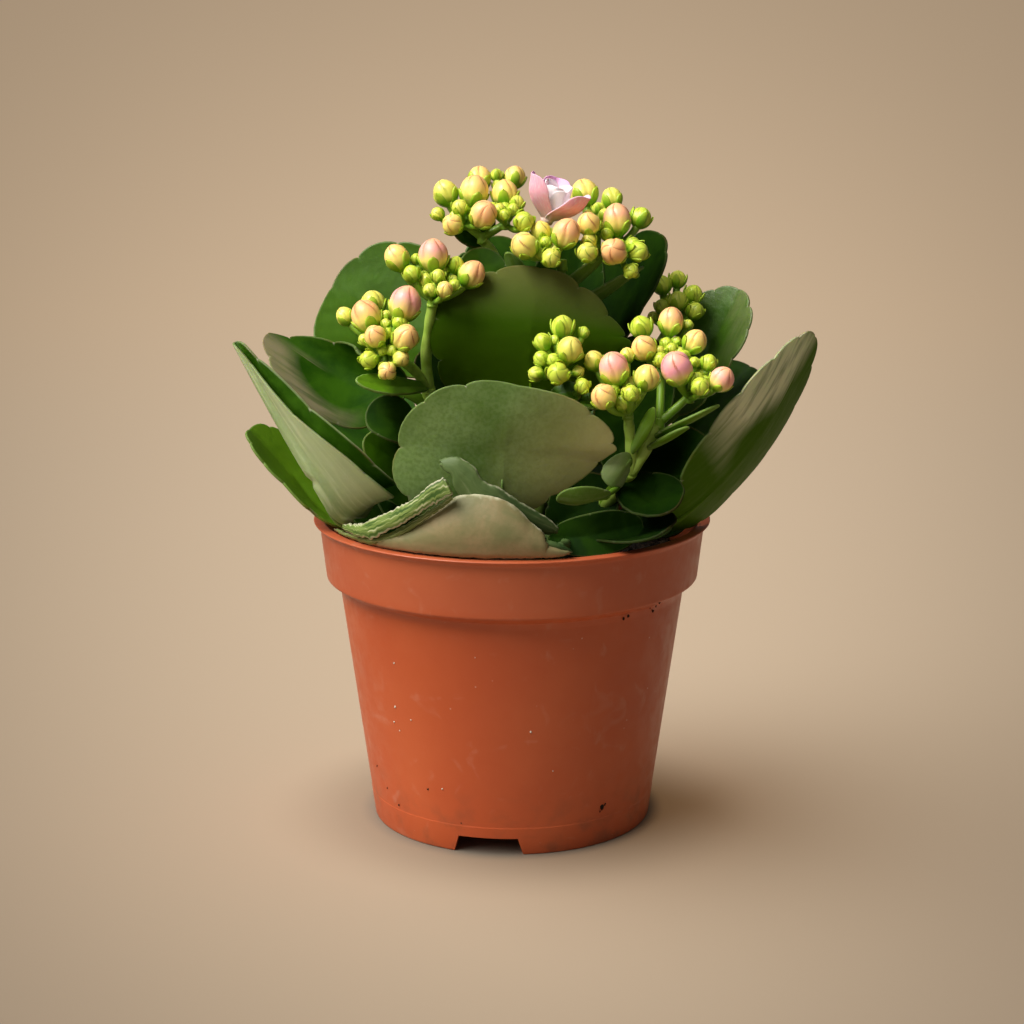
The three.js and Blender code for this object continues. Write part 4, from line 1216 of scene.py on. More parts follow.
@dataclass
class Foliage:
    """All whole leaves of the plant."""

    leaves: dict[str, Leaf] = field(default_factory=lambda: {
        "leaf_front_centre": Leaf(
            (2.5, -9, 68), (-1.7, -29, 75.3), (-1.6, -33.6, 92.2), (1.4, -35.2, 105.5), (0, 1, 0.3), 23.3, 4, 0.055,
            egg=-0.12, crease=0.02, fold=(0.04, 0.06), grey=0.85, streaked=0.0, taper=(0.7, -0.3),
            point=(-0.3, 0.2), blunt=0.3, warm=0.9, warm_way=(0.2, -1.0, -0.35)),
        "leaf_left_long": Leaf(
            (-9.9, -5, 69), (-34, -20, 71.4), (-43.2, -24.6, 83.5), (-60.6, -14, 111.5), (0.85, 0.1, 0.5), 15, 4,
            0.05, egg=-0.4, crease=1.27, fold=(0.03, 0.24), twist=-1.1, tone=0.05, grey=0.75, streaked=0.9,
            taper=(-0.28, -0.23), point=(0.38, 0.28), light=0.8),
        "leaf_left_low": Leaf(
            (-9, -4, 65.5), (-37, -14, 70.8), (-49.6, -9.5, 81.2), (-58.5, -8, 91), (0.6, -0.4, 0.7), 7.2, 4, 0.08,
            blunt=0.32, tone=0.6),
        "leaf_left_mid": Leaf(
            (-17.5, -10.5, 96), (-23.4, -11, 99.8), (-36.5, -6.5, 100.7), (-54.7, -1, 111.5), (0.6, -0.7, 0.3), 13.4,
            4, 0.07, crease=0.05, fold=(0.15, 1.4), grey=0.8, worn=(1.0, 0.0), taper=(0.31, 0.0), point=(0.35, 0.85),
            dim=0.3, gloss=0.05),
        "leaf_back_left": Leaf(
            (1.2, 3, 84), (-17, 8, 102), (-26.4, 13, 113.4), (-41.4, 15, 119.8), (-0.25, -0.72, 0.6), 18.8, 4, 0.05,
            egg=0.24, fold=(0.1, 0.25), point=(-0.3, 0.4), blunt=0.2, tone=0.25, gloss=0.35),
        "leaf_centre": Leaf(
            (1.4, 3, 90), (4, -8, 91), (4, -17, 112), (6, -12, 127.5), (0, 1, 0.3), 22.8, 5, 0.07, egg=-0.05,
            crease=0.05, grey=0.0, streaked=0.0, warm=0.95, warm_way=(-0.15, 0.0, 1.3), dim=0.3,
            gloss=0.05, tone=1.0, painted_sunlight_fall=1.7),
        "leaf_right_back": Leaf(
            (2.2, 3, 101), (19, 10, 104), (27.5, 14, 118.5), (34, 15, 132), (-0.75, -0.5, 0.4), 12, 4, 0.05,
            dim=0.75, gloss=0.04),
        "leaf_right": Leaf(
            (17, 11.6, 79), (38, 13, 91), (46.8, 16, 107), (52.5, 17.5, 119), (-0.6, -0.7, 0.4), 10, 4, 0.07,
            worn=(0.1, 0.25), tone=0.2, gloss=0.45),
        "leaf_right_far": Leaf(
            (12.9, -7.9, 66), (32.4, -21, 71.8), (52.4, -15, 89.2), (67.4, -4, 111.6), (-0.6, 0.6, 0.45), 18.8, 5, 0.05,
            egg=-0.1, crease=0.1, fold=(0.1, 0.1), grey=0.0, streaked=0.05, taper=(0.3, 0.5), point=(0.04, 0.4),
            worn=(0.0, 1.0), blunt=0.08, gloss=0.1),
        "leaf_right_rear": Leaf(
            (12.4, 9.4, 67), (36, 14, 80), (48, 20, 92), (56, 25, 100), (-0.4, -0.7, 0.6), 9, 3, 0.06, tone=0.08),
        "leaf_right_spoon": Leaf(
            (19.5, -18, 75.5), (23.6, -24, 82.5), (30, -30, 79.3), (36.6, -31, 82.6), (0, -0.43, 0.9), 8, 2, 0.03,
            egg=0.03, taper=(-0.17, 0.15), dim=0.85, gloss=0.03),
        "leaf_right_shade": Leaf(
            (5.5, -7.6, 64.5), (18, -21, 67.5), (26, -31, 71.5), (35, -33, 76), (0.1, -0.2, 0.9), 8.5, 3, 0.05,
            dim=0.87, gloss=0.05),
        "leaf_left_shade": Leaf(
            (-17, -10, 93), (-20, -19, 92.5), (-25.5, -25, 96), (-31, -26, 98.5), (0.2, -0.8, 0.5), 5.4, 2, 0.04,
            dim=0.5, gloss=0.1),
        "leaf_left_under": Leaf(
            (-12.6, -6.9, 77), (-20, -15, 81), (-26.5, -20.5, 87.3), (-32, -23.5, 91.6), (0.4, -0.8, 0.4), 5, 2, 0.04,
            tone=0.12, gloss=0.1),
        "leaf_crown": Leaf(
            (3.2, 2.2, 109), (-2, -4, 114), (-6, -7, 123), (-8, -6, 131), (0.2, -0.8, 0.5), 6.2, 2, 0.04, tone=0.1),
        "leaf_small_tip": Leaf(
            (24, -23, 82.5), (20.5, -34, 82.2), (15, -38, 81.9), (9.5, -38.5, 82), (0, 0.75, 0.66), 3.1, 2, 0.04,
            grey=0.3, tone=0.2, dim=0.15),
        "leaf_small_oval": Leaf(
            (24.8, -24, 84.5), (25, -28, 88.4), (22.8, -30, 85.9), (21, -31, 83.2), (-0.3, 0.8, 0.3), 3.6, 1, 0,
            grey=0.5, streaked=0.1, blunt=0.2, light=0.4, tone=0.4),
        "leaf_back_centre": Leaf(
            (-0.4, 20, 76), (3, 28, 80), (7, 43, 93), (9, 48, 111), (0, -1, 0.35), 20, 5, 0.06, grey=0.5),
        "leaf_back_right_low": Leaf(
            (11.8, 9.2, 65.5), (19, 26, 69), (25, 39, 75), (29, 51, 83), (-0.5, -0.7, 0.7), 14, 4, 0.06),
        "leaf_back_left_low": Leaf(
            (0, 18, 70), (-22, 23, 73), (-36, 32, 83), (-46, 38, 95), (0.6, -0.7, 0.6), 16, 4, 0.06),
        "leaf_back_low": Leaf(
            (0, 16, 65), (-5, 32, 71), (-8, 46, 75), (-11, 57, 82), (0.1, -0.5, 0.9), 13, 4, 0.06, tone=0.1),
        "leaf_back_upper": Leaf(
            (-2.6, 26, 93), (8, 32, 98), (18, 37, 108), (25, 39, 119), (-0.5, -0.7, 0.6), 12, 4, 0.06),
        "leaf_back_high": Leaf(
            (1.2, 3, 98), (-1, 11, 102), (-3.5, 18, 116), (-5, 20, 131), (0.1, -0.8, 0.5), 11.5, 4, 0.06),
        "leaf_back_inner": Leaf(
            (1, 3, 78), (8, 13, 82), (11.5, 21, 92), (12, 27, 104), (-0.3, -0.8, 0.5), 10.5, 3, 0.06),
        "leaf_left_rear": Leaf(
            (1, 3, 70), (-22, 10, 80), (-35, 14, 91), (-44, 17, 102), (0.6, -0.2, 0.7), 12, 4, 0.06),
    })

    def build(self, finish: Material) -> None:
        """Makes each leaf as its own piece.

        Args:
            finish: the leaves' material.
        """
        maker = BladeMaker()
        for seed, (name, leaf) in enumerate(self.leaves.items(), start=1):
            draft = Draft(maker.names)
            maker.add(draft, leaf, seed)
            draft.piece(f"{name}_fine", finish, "leaf", (name,))
            LOG.info("made %s", name)


@dataclass(frozen=True)
class TornSheet:
    """Sheet of leaf between an upper and a lower edge.

    Args:
        upper, lower: places of its edges, from end to end.
        bulge: how far its middle stands out.
        thickness: its thickness.
        torn: how much torn flesh it shows.
        ragged: how uneven its edges are.
        edges: how whitish the upper and the lower edge are.
        green: how green it is.
        lean_out: how far it stands out from those places.
        columns: how many rings it has from end to end.
        levels: how many points a ring has from edge to edge.
    """

    upper: tuple[Place, ...]
    lower: tuple[Place, ...]
    bulge: float
    thickness: float
    torn: float
    ragged: float
    edges: Pair
    green: float = 0.0
    lean_out: Place = (0.0, -1.9, -0.1)
    columns: int = 70
    levels: int = 13

    def rings(self, rng: np.random.Generator) -> tuple[Array, Array, Array]:
        """Rings round the sheet.

        Args:
            rng: the source of its unevenness.

        Returns:
            The rings from end to end, and for the points of a ring how high and how near an edge they are.
        """
        share, level = np.linspace(0, 1, self.columns), np.linspace(0, 1, self.levels)
        fray = self.ragged * rng.normal(0, 1, (2, self.columns, 1))
        top, bottom = (
            curve_at(edge, share)[0] + uneven * UP + np.array(self.lean_out)
            for edge, uneven in zip((self.upper, self.lower), fray)
        )
        sheet = (bottom + (top - bottom) * level[:, None, None]).transpose(1, 0, 2)
        normal = unit(np.cross(np.gradient(sheet, axis=0), np.gradient(sheet, axis=1)))
        arch = np.sin(np.pi * level) * np.sin(np.pi * np.clip(share, 0.02, 0.98))[:, None]
        sheet = sheet + normal * (self.bulge * arch)[..., None]
        half = 0.5 * self.thickness * (0.35 + 0.65 * np.sqrt(np.sin(np.pi * np.linspace(0.03, 0.97, self.levels))))
        front, back = sheet + normal * half[:, None], sheet - normal * half[:, None]
        near = np.maximum(self.edges[0] * (2 * level - 1), self.edges[1] * (1 - 2 * level))
        rows = np.concatenate([front, back[:, ::-1]], axis=1)
        return rows, np.concatenate([level, level[::-1]]), np.concatenate([near, near[::-1]])


@dataclass
class SnappedLeaf:
    """Leaf that snapped and lies along the rim, with its torn layers."""

    sheets: tuple[TornSheet, ...] = (
        TornSheet(
            ((-38.6, -16.5, 70.8), (-35.4, -22, 70.8), (-29.5, -28.5, 71.2), (-25.7, -31.4, 72.8), (-21.7, -33.8, 75.1),
             (-17.4, -35.8, 78.6), (-12.6, -37.5, 82.4), (-8.8, -38.5, 83.6), (-3.8, -39.6, 83.3), (-0.6, -40, 82.1),
             (1.7, -40.2, 80.5), (3.9, -40.3, 78), (6.3, -40.3, 76), (6.1, -40.3, 74.2), (8.8, -40.2, 72.9),
             (12.2, -39.8, 71.5)),
            ((-38.7, -16.8, 70.5), (-35.3, -22.9, 70.5), (-29.4, -30, 70.5), (-26.1, -33, 70.5), (-21.7, -35.8, 70.5),
             (-17.3, -38, 70.5), (-12.6, -39.8, 70.5), (-8.8, -40.8, 70.5), (-3.8, -41.4, 70.5), (-1.5, -41.5, 70.5),
             (1, -41.5, 70.5), (3.6, -41.4, 70.5), (5.9, -41.2, 70.5), (7.6, -41, 70.5), (9.9, -40.6, 70.6),
             (12.1, -40.1, 71.1)),
            1.6, 1.2, 0.0, 0.05, (0.9, 0.6)),
        TornSheet(
            ((-38.4, -17, 71), (-35.3, -23, 71.6), (-29.5, -30, 72.6), (-25.6, -33.4, 74.2), (-21.6, -36, 77),
             (-18.4, -37.6, 79.4), (-15.1, -38.8, 81.8), (-12.6, -39.5, 83.9)),
            ((-38.4, -17.2, 70.6), (-35.4, -23, 70.6), (-29.5, -30, 70.7), (-25.6, -33, 72.4), (-21.7, -35.6, 75),
             (-18.4, -37.2, 77.6), (-15.2, -38.5, 80.2), (-12.4, -39.2, 82.6)),
            0.3, 0.9, 0.75, 0.12, (0.5, 0.5)),
        TornSheet(
            ((-36.5, -22.4, 73.5), (-33.5, -27.2, 74.5), (-31.4, -29.8, 75.3), (-29.3, -32, 76.9), (-26.1, -34.8, 78.8),
             (-22.4, -37.4, 81.3), (-19.5, -39, 83.4), (-17.4, -40, 85.6), (-15, -40.8, 87.2), (-13.8, -41.2, 87.4)),
            ((-36.3, -23, 72.3), (-34.2, -26.4, 71.9), (-31.4, -30, 72.2), (-29.1, -32.4, 72.8), (-26.2, -34.9, 74.8),
             (-22.6, -37.5, 77.2), (-20, -38.9, 79.3), (-17.2, -40.2, 81.3), (-14.7, -41.2, 82.8),
             (-12.3, -41.9, 84.1)),
            0.4, 1.0, 1.0, 0.16, (1.0, 1.0)),
        TornSheet(
            ((-15.1, -36.5, 90), (-13.6, -37.1, 90.8), (-11.7, -37.7, 91.2), (-9.8, -38.3, 90.5), (-7.7, -38.7, 89),
             (-6.5, -39, 86.8), (-4.8, -39.2, 85.6), (-2.9, -39.4, 85.1), (-1, -39.5, 83.8), (1.7, -39.5, 81.9),
             (5.1, -39.2, 79.8), (7.9, -38.7, 77.9), (9.8, -38.3, 75.9)),
            ((-15, -37.6, 89.5), (-14.1, -38, 88.2), (-12.6, -38.5, 87.2), (-12.2, -38.6, 85), (-10.3, -38.6, 82),
             (-8.6, -38.6, 80.5), (-5, -38.6, 79), (-3.1, -38.6, 78), (-1.5, -38.6, 77), (1.3, -38.6, 76),
             (4.6, -38.4, 75), (7.6, -38, 74.6), (9.5, -37.8, 74.9)),
            0.5, 1.0, 0.1, 0.06, (0.85, 0.75), 0.95, (0.0, -1.2, 0.0)),
        TornSheet(
            ((2.6, -40.7, 73.9), (5.6, -40.5, 74.3), (8.5, -40.3, 73.9), (10.9, -40, 72.9), (12.4, -39.7, 71.8)),
            ((2.6, -41, 73.5), (5.6, -40.9, 73.2), (8.5, -40.7, 72.4), (10.9, -40.3, 71.7), (12.7, -39.7, 71.3)),
            0.3, 0.7, 0.0, 0.03, (0.4, 1.0), 1.0),
    )
    stalk: tuple[Place, ...] = ((6, -9, 69), (9, -22, 69.5), (11.5, -33, 71), (10, -39.6, 72))

    def build(self, finish: Material) -> None:
        """Makes the snapped leaf's sheets and stalk in one piece.

        Args:
            finish: its material.
        """
        draft = Draft(("rise", "run", "torn", "green", "edge"))
        rng = np.random.default_rng(21)
        for sheet in self.sheets:
            rows, rise, near = sheet.rings(rng)
            run = np.linspace(0, 1, len(rows))[:, None]
            draft.skin(rows, rise=rise, run=run, torn=sheet.torn, green=sheet.green, edge=near)
        share = np.linspace(0, 1, 20)
        path, _ = curve_at(self.stalk, share)
        draft.tube(path, 1.6 - 0.7 * share, green=1.0)
        draft.piece("leaf_front_broken_fine", finish, "torn_leaf", ("leaf_front_broken",))


# ---- Shoots ----


@dataclass(frozen=True)
class Stalk:
    """One run of stem: the places it goes through and its radius at either end."""

    points: tuple[Place, ...]
    radii: Pair


@dataclass
class Shoots:
    """Stems with their flower stalks and narrow bracts."""

    stalks: dict[str, tuple[Stalk, ...]] = field(default_factory=lambda: {
        "stem_centre": (
            Stalk(((1, 3, 47), (1, 3, 75), (2, 3, 98), (4, 2, 114)), (2.7, 1.7)),
            Stalk(((3.4, 2, 111), (1, 1, 120), (-4, -1, 129), (-6.5, -2, 132.5)), (1.3, 1.1)),
            Stalk(((3.4, 2, 111), (7, 0, 118), (10, -4, 124), (11, -6.5, 127)), (1.3, 1.1)),
            Stalk(((7, 0, 118), (12, -1, 122), (17, -2.5, 127), (19, -3.5, 129.5)), (1.1, 1.0))),
        "stem_left": (
            Stalk(((-7, -2, 47), (-10, -5, 70), (-16, -9, 88), (-18.5, -11.5, 101)), (2.3, 1.5)),
            Stalk(((-18.3, -11.4, 100), (-18.8, -12, 108), (-18, -13, 115), (-17.3, -14, 120)), (1.3, 1.1)),
            Stalk(((-18.3, -11.4, 100), (-21, -14, 105), (-25, -18, 109), (-27.3, -20, 111.5)), (1.2, 1.0))),
        "stem_middle": (
            Stalk(((4, -5, 47), (6, -9, 72), (9.5, -18, 90), (11.6, -24, 102)), (2.0, 1.2)),),
        "stem_right": (
            Stalk(((10, -3, 47), (13, -8, 66), (20, -18.5, 76), (25.6, -25, 85)), (2.2, 1.5)),
            Stalk(((25.4, -24.8, 84.5), (25.6, -25.6, 89), (25.2, -26, 94), (24.8, -26, 97.5)), (1.25, 1.1)),
            Stalk(((25.4, -24.8, 84.5), (28, -24.6, 88.5), (30.3, -24.2, 92.5), (31.5, -24, 95)), (1.35, 1.2))),
        "stem_back_right": (
            Stalk(((9, 7, 47), (13, 10, 70), (26, 15, 94), (36.4, 17, 110)), (2.1, 1.1)),),
        "stem_back": (
            Stalk(((0, 12, 47), (0, 19, 72), (-3, 27, 96), (-5, 30, 112)), (2.2, 1.2)),),
    })
    # Broad bracts with a high dim are dark leaves set in the deep gaps of the plant; their near black colour is painted
    # shade.
    bracts: dict[str, tuple[Leaf, ...]] = field(default_factory=lambda: {
        "stem_left": (
            Leaf((-18, -9, 101), (-18.6, -12.5, 101.5), (-25, -24, 103.2), (-33, -28.5, 105.5), (0.2, -0.7, 0.7), 2.7,
                 tone=0.45),
            Leaf((-12, -6, 70), (-16, -12, 68), (-23, -15, 76), (-28, -16, 86), (0.3, -0.8, 0.4), 7.5, 3, 0.04,
                 dim=0.5, gloss=0.1),
            Leaf((-12, -6, 70), (-20, -15, 70), (-28, -20.5, 72.5), (-34.5, -20, 77.5), (0.3, -0.8, 0.5), 5, 2, 0.04,
                 dim=0.75, gloss=0.05)),
        "stem_centre": (
            Leaf((4, 2, 113), (7.4, -0.2, 118.5), (14, -5, 123.5), (21, -7.5, 130), (-0.3, 0.3, 0.9), 3.2, tone=0.3),
            Leaf((2, 2, 110), (4, 1.8, 112), (18, 0, 118.5), (29, -3, 126.5), (-0.4, 0.2, 0.9), 5, 2, 0.04, tone=0.15),
            Leaf((2, 3, 106), (6, 6, 110), (12, 8, 119), (17.5, 8, 130.5), (-0.2, -0.9, 0.4), 9, 3, 0.04, dim=0.4,
                 gloss=0.1),
            Leaf((-4, -1, 128), (-7, 0.5, 131), (-8.5, 1, 135), (-10, 1, 139.5), (0, -0.9, 0.4), 5, 2, 0.04, dim=0.35,
                 gloss=0.1),
            Leaf((1, 3, 118), (0.8, 0.6, 120.5), (1.6, -6, 124.5), (-1, -9.5, 130.5), (0.3, 0.8, 0.4), 2.2, tone=0.3),
            Leaf((1, 3, 84), (-6, 2, 90), (-13, 0, 98), (-21, -2, 107), (0.3, -0.8, 0.4), 7, 3, 0.04, dim=0.75,
                 gloss=0.1)),
        "stem_right": (
            Leaf((28, -23, 90), (30.4, -24.4, 92.5), (37.5, -27.5, 96.5), (44, -28, 100), (-0.3, 0.2, 0.9), 2.2,
                 tone=0.45, grey=0.1),
            Leaf((27.5, -23, 88), (29, -24.8, 90), (33.5, -28, 93), (37.5, -29, 95.5), (-0.2, 0.3, 0.9), 1.6, tone=0.4,
                 grey=0.1),
            Leaf((25, -23, 86), (25.6, -25.8, 89), (28, -29.5, 95), (30, -31, 100), (0.5, 0.8, 0), 1.4, tone=0.5,
                 grey=0.2),
            Leaf((13, -6, 70), (22, 0, 80), (28, 3, 94), (29.5, 6, 110), (-0.3, -0.9, 0.3), 9.5, 3, 0.04, dim=0.6,
                 gloss=0.05),
            Leaf((13, -6, 68), (26, 0, 71), (36, 3, 78), (43, 4, 88), (-0.3, -0.9, 0.3), 9.5, 3, 0.04, dim=0.7,
                 gloss=0.05),
            Leaf((10, -8, 66), (9, -14, 70), (15, -18, 75), (22, -19, 81), (0, -0.9, 0.4), 7.5, 3, 0.04, dim=0.85,
                 gloss=0.05),
            Leaf((13, -9, 66), (16, -19, 67.8), (20, -26.5, 69.3), (25, -29.5, 71.6), (0.1, -0.3, 0.9), 6, 3, 0.04,
                 dim=0.88, gloss=0.05),
            Leaf((10, -8, 68), (8, -28, 71), (17, -33, 72.8), (28, -29.3, 74.4), (0, -0.95, 0.3), 4.8, 3, 0.04,
                 dim=0.8, gloss=0.05),
            Leaf((13, -6, 68), (19, -19, 71), (28, -21.5, 72.4), (34.5, -17.5, 74.2), (0.2, -0.75, 0.6), 4.8, 3, 0.04,
                 dim=0.75, gloss=0.05),
            Leaf((13, -6, 67), (26, -12, 70), (33.6, -13, 71), (39.3, -10, 73.5), (0.2, -0.85, 0.5), 3.8, 2, 0.04,
                 dim=0.8, gloss=0.05)),
        "stem_middle": (
            Leaf((11, -23, 98), (8.6, -25.8, 101.2), (11.6, -27.2, 102.6), (14.4, -27.4, 101.8), (0, -0.8, 0.6), 2.4, 2,
                 tone=0.2),
            Leaf((12, -23.5, 99), (14, -26.4, 100.6), (16.3, -27.6, 100.8), (18.6, -27.6, 100), (0, -0.8, 0.6), 1.8, 2,
                 tone=0.3)),
    })

    def build(self, stem: Material, blade: Material) -> list[Object]:
        """Makes each shoot as its own piece, with its bracts in a second material.

        Args:
            stem: the stems' material.
            blade: the bracts' material.

        Returns:
            The shoots.
        """
        maker, pieces = BladeMaker(rings=8), []
        for name, stalks in self.stalks.items():
            draft = Draft(maker.names)
            for stalk in stalks:
                share = np.linspace(0, 1, 44)
                path, _ = curve_at(stalk.points, share)
                joints = 0.06 * np.sin(share * 19) + 0.12 * np.exp(-(((share - 1) / 0.05) ** 2))
                draft.tube(path, np.interp(share, [0, 1], stalk.radii) + joints, 16, stalk=1.0)
            for seed, bract in enumerate(self.bracts.get(name, ()), start=50):
                maker.add(draft, bract, seed, keel=0)
            piece = draft.piece(f"{name}_fine", stem, "stem", (name,))
            dress_bracts(piece, blade)
            pieces.append(piece)
            LOG.info("made %s", name)
        return pieces


def dress_bracts(piece: Object, blade: Material) -> None:
    """Gives a piece a second material, on the faces that aren't stalk.

    Args:
        piece: the piece.
        blade: the material.
    """
    piece.data.materials.append(blade)
    stalk = np.zeros(len(piece.data.vertices))
    piece.data.attributes["stalk"].data.foreach_get("value", stalk)
    for face in piece.data.polygons:
        face.material_index = 0 if stalk[face.vertices[0]] > 0.5 else 1


# ---- Flower heads ----


class Ripeness(Enum):
    """Stage of a bud: colour stage, height over width, how far up its sepals reach and how far they flare."""

    GREEN = (0.05, 1.04, 0.72, 0.3)
    YELLOW = (0.4, 1.08, 0.3, 0.14)
    PEACH = (0.72, 1.12, 0.1, 0.1)
    PINK = (1.0, 1.16, 0.0, 0.08)


Bud = tuple[float, float, float, float, Ripeness]
G, Y, P, R = Ripeness.GREEN, Ripeness.YELLOW, Ripeness.PEACH, Ripeness.PINK


@dataclass(frozen=True)
class Head:
    """One flower head: the hubs where its stalks part, and its buds as place, radius and ripeness."""

    hubs: tuple[Place, ...]
    buds: tuple[Bud, ...]


@dataclass
class FlowerHeads:
    """Heads of closed buds on short stalks."""

    sides: int = 40
    petals: int = 4
    tries: int = 120
    filler_sizes: Pair = (1.1, 1.75)
    heads: dict[str, Head] = field(default_factory=lambda: {
        "head_top_left": Head(((-6.5, -2, 133), (-10.5, -1.5, 136), (-1.5, -1.5, 136)), (
            (-14.6, 0, 142.4, 2.8, Y), (-16.2, -4, 138.3, 1.5, G), (-12.9, -7.5, 136.3, 2.3, Y),
            (-7.3, 5.5, 145.1, 2.7, Y), (-8.4, -0.5, 142.8, 3.2, P), (-11.4, -4.6, 139.7, 1.8, G),
            (-6.3, -8, 138.5, 3, P), (-1.6, 0.5, 142.2, 2.9, Y), (-3.4, 5.5, 146, 1.4, G),
            (0.6, 6.5, 145.4, 2.4, Y), (-1.6, -7, 138.4, 1.3, G), (2.5, -10.5, 137.3, 2.2, G))),
        "head_top_centre": Head(((11, -6.5, 127.5), (7.4, -8.6, 129.5)), (
            (6.3, -10, 135, 2.2, Y), (2.8, -14, 132.4, 2.9, Y), (11.6, -12.5, 134.8, 3.1, P),
            (8.4, -15.5, 130, 2.1, G))),
        "head_top_right": Head(((19, -3.5, 130), (23.5, -5, 132)), (
            (16.7, -9.5, 136.6, 2.5, Y), (16.2, 5.5, 141.8, 3.1, Y), (22.2, 3, 140.9, 2.4, Y),
            (23, -5, 137, 3.2, P), (28.3, -2, 137.2, 2.3, G), (16.7, -10.5, 133, 1.7, G),
            (16.2, -14, 131, 2.2, G), (22.1, -12, 131, 2.9, P), (27.4, -9, 130.6, 2.2, G),
            (25.8, -11.5, 126.8, 1.7, G))),
        "head_left_upper": Head(((-17.3, -14, 120.5),), (
            (-24.8, -13, 129.6, 2.8, Y), (-20.8, -10, 129, 1.3, G), (-17, -14, 130.2, 3.2, P),
            (-12.3, -12.5, 128, 1.9, G), (-8.8, -15, 126.3, 2.8, P), (-21.6, -15, 126.4, 1.9, G),
            (-14.4, -21, 123.8, 1.8, Y), (-15.5, -6, 127.5, 2.2, Y))),
        "head_left_lower": Head(((-27.3, -20, 112),), (
            (-35.9, -17, 117.5, 2, Y), (-30.2, -12.5, 119.6, 2.7, Y), (-31.2, -19.5, 117.8, 3.2, P),
            (-22.9, -21.5, 120.7, 3.4, R), (-23.9, -23, 117, 1.7, G), (-29, -25.4, 114.4, 2.4, Y),
            (-22.7, -27, 114.4, 2.8, Y), (-23.6, -27, 110, 1.8, Y), (-26.4, -29.5, 107.8, 2, Y),
            (-30.4, -26, 109.6, 2, G))),
        "head_middle": Head(((11.6, -24, 102.5), (10.6, -25, 108)), (
            (10.8, -23.5, 116.1, 2.4, G), (6.6, -25.5, 113.2, 1.9, G), (12.2, -28.5, 112, 2.7, Y),
            (15.2, -22.5, 114.8, 1.3, G), (9.7, -31, 107.4, 2.4, G), (5.2, -28, 106.8, 1.7, G),
            (14, -27.5, 107.2, 1.3, G), (14.8, -30.5, 104.6, 1.7, G))),
        "head_right_front": Head(((24.8, -26, 98),), (
            (17.6, -25, 109, 2.1, Y), (21.6, -29.5, 108, 3.3, P), (24.6, -23.5, 110, 1.6, Y),
            (19.4, -33.5, 102.8, 2.7, Y), (25, -33.5, 103.5, 1.8, G), (28.4, -30, 106.2, 2.7, Y))),
        "head_right": Head(((31.7, -24, 95.5), (38, -22.5, 101), (32.5, -17, 107)), (
            (28, -17.5, 115.2, 2.4, G), (28.3, -22.5, 111.4, 2.7, Y), (34.3, -16.5, 116.2, 2.8, P),
            (39.2, -19.5, 112.3, 2.6, Y), (38.2, -14, 115.2, 1.2, G), (35, -28, 107.8, 3.4, R),
            (39, -24, 108.6, 1.2, G), (42, -23.5, 108.4, 1.8, G), (44.5, -27, 105.4, 2.6, P),
            (39.8, -30, 104.4, 2, G))),
        "head_back_right": Head(((36.6, 17, 110.5),), (
            (34.6, 18, 119.8, 2.2, G), (38.2, 19, 121, 2, G), (41.6, 16.5, 117.8, 2.2, G), (38, 14.5, 116.6, 2.2, G),
            (41.8, 12.5, 114.6, 2, G), (34.3, 14, 115.4, 1.7, G), (32.6, 15.5, 112.8, 1.4, G))),
        "head_back": Head(((-5, 30, 112.5), (-9, 32, 116)), (
            (-5, 31, 123, 3, P), (-11, 29, 120.5, 2.6, Y), (0.6, 31, 120, 2.6, Y), (-8.4, 37, 121, 2.8, Y),
            (-1.6, 37, 118.2, 2.4, G), (-14.6, 34.5, 118.4, 2.3, G), (-6, 25.5, 118.6, 2, G),
            (3.4, 34.6, 115.4, 1.8, G), (-12, 38.5, 116, 1.9, G))),
    })

    def frame(self, axis: Array, spin: float) -> tuple[Array, Array]:
        """Frame round an axis.

        Args:
            axis: the axis, of length one.
            spin: turn about it.

        Returns:
            Two unit vectors square to the axis.
        """
        right = unit(np.cross(axis, np.array([0.31, 0.95, 0.1])))
        front = np.cross(axis, right)
        return right * math.cos(spin) + front * math.sin(spin), front * math.cos(spin) - right * math.sin(spin)

    def body_radius(self, level: Array) -> Array:
        """Outline of a bud.

        Args:
            level: heights along its axis, from -1 at the foot to 1.1 at the tip.

        Returns:
            Its radius over its greatest one at each.
        """
        foot = np.sqrt(np.clip(1 - ((level - 0.02) / -1.02) ** 2, 0, 1)) ** 1.15
        crown = np.clip(1 - (np.abs(level - 0.02) / 1.08) ** 2.3, 0, 1) ** 0.62
        return np.where(level < 0.02, foot, crown)

    def bud(self, draft: Draft, place: Array, radius: float, stage: Ripeness, axis: Array, spin: float) -> None:
        """Adds one bud with its sepals.

        Args:
            draft: the mesh to add it to.
            place: the bud's middle.
            radius: its greatest radius.
            stage: how ripe it is.
            axis: the way its tip points.
            spin: turn of its petals about the axis.
        """
        ripe, tall, sepal_top, flare = stage.value
        ripe += 0.16 * math.sin(7 * spin)
        right, front = self.frame(axis, spin)
        level = np.sin(np.linspace(-np.pi / 2, np.pi / 2, 24))[1:-1] * 1.05 + 0.05
        angle = circle(self.sides)
        swirl = angle[None, :] + 0.5 * np.clip(level[:, None], 0, 1.1) ** 1.5
        lobe = np.cos(self.petals * swirl)
        groove = np.exp(-(((lobe - 1) / 0.12) ** 2)) * np.clip(level[:, None] + 0.7, 0, 1)
        step = 0.05 * ((self.petals * swirl / (2 * np.pi)) % 1 - 0.5)
        reach = radius * self.body_radius(level)[:, None] * (1.01 - 0.04 * (lobe * 0.5 + 0.5) - 0.09 * groove + step)
        spokes = right * np.cos(angle)[:, None] + front * np.sin(angle)[:, None]
        stretch = radius * tall
        rings = place + spokes[None] * reach[..., None] + axis * (level * stretch)[:, None, None]
        rise = ((level + 1) / 2.1)[:, None]
        draft.skin(rings, rise=rise, ripe=ripe, seam=0.5 + 0.5 * lobe)
        for k in range(self.petals):
            bearing = spin + (k + 0.5) * 2 * math.pi / self.petals
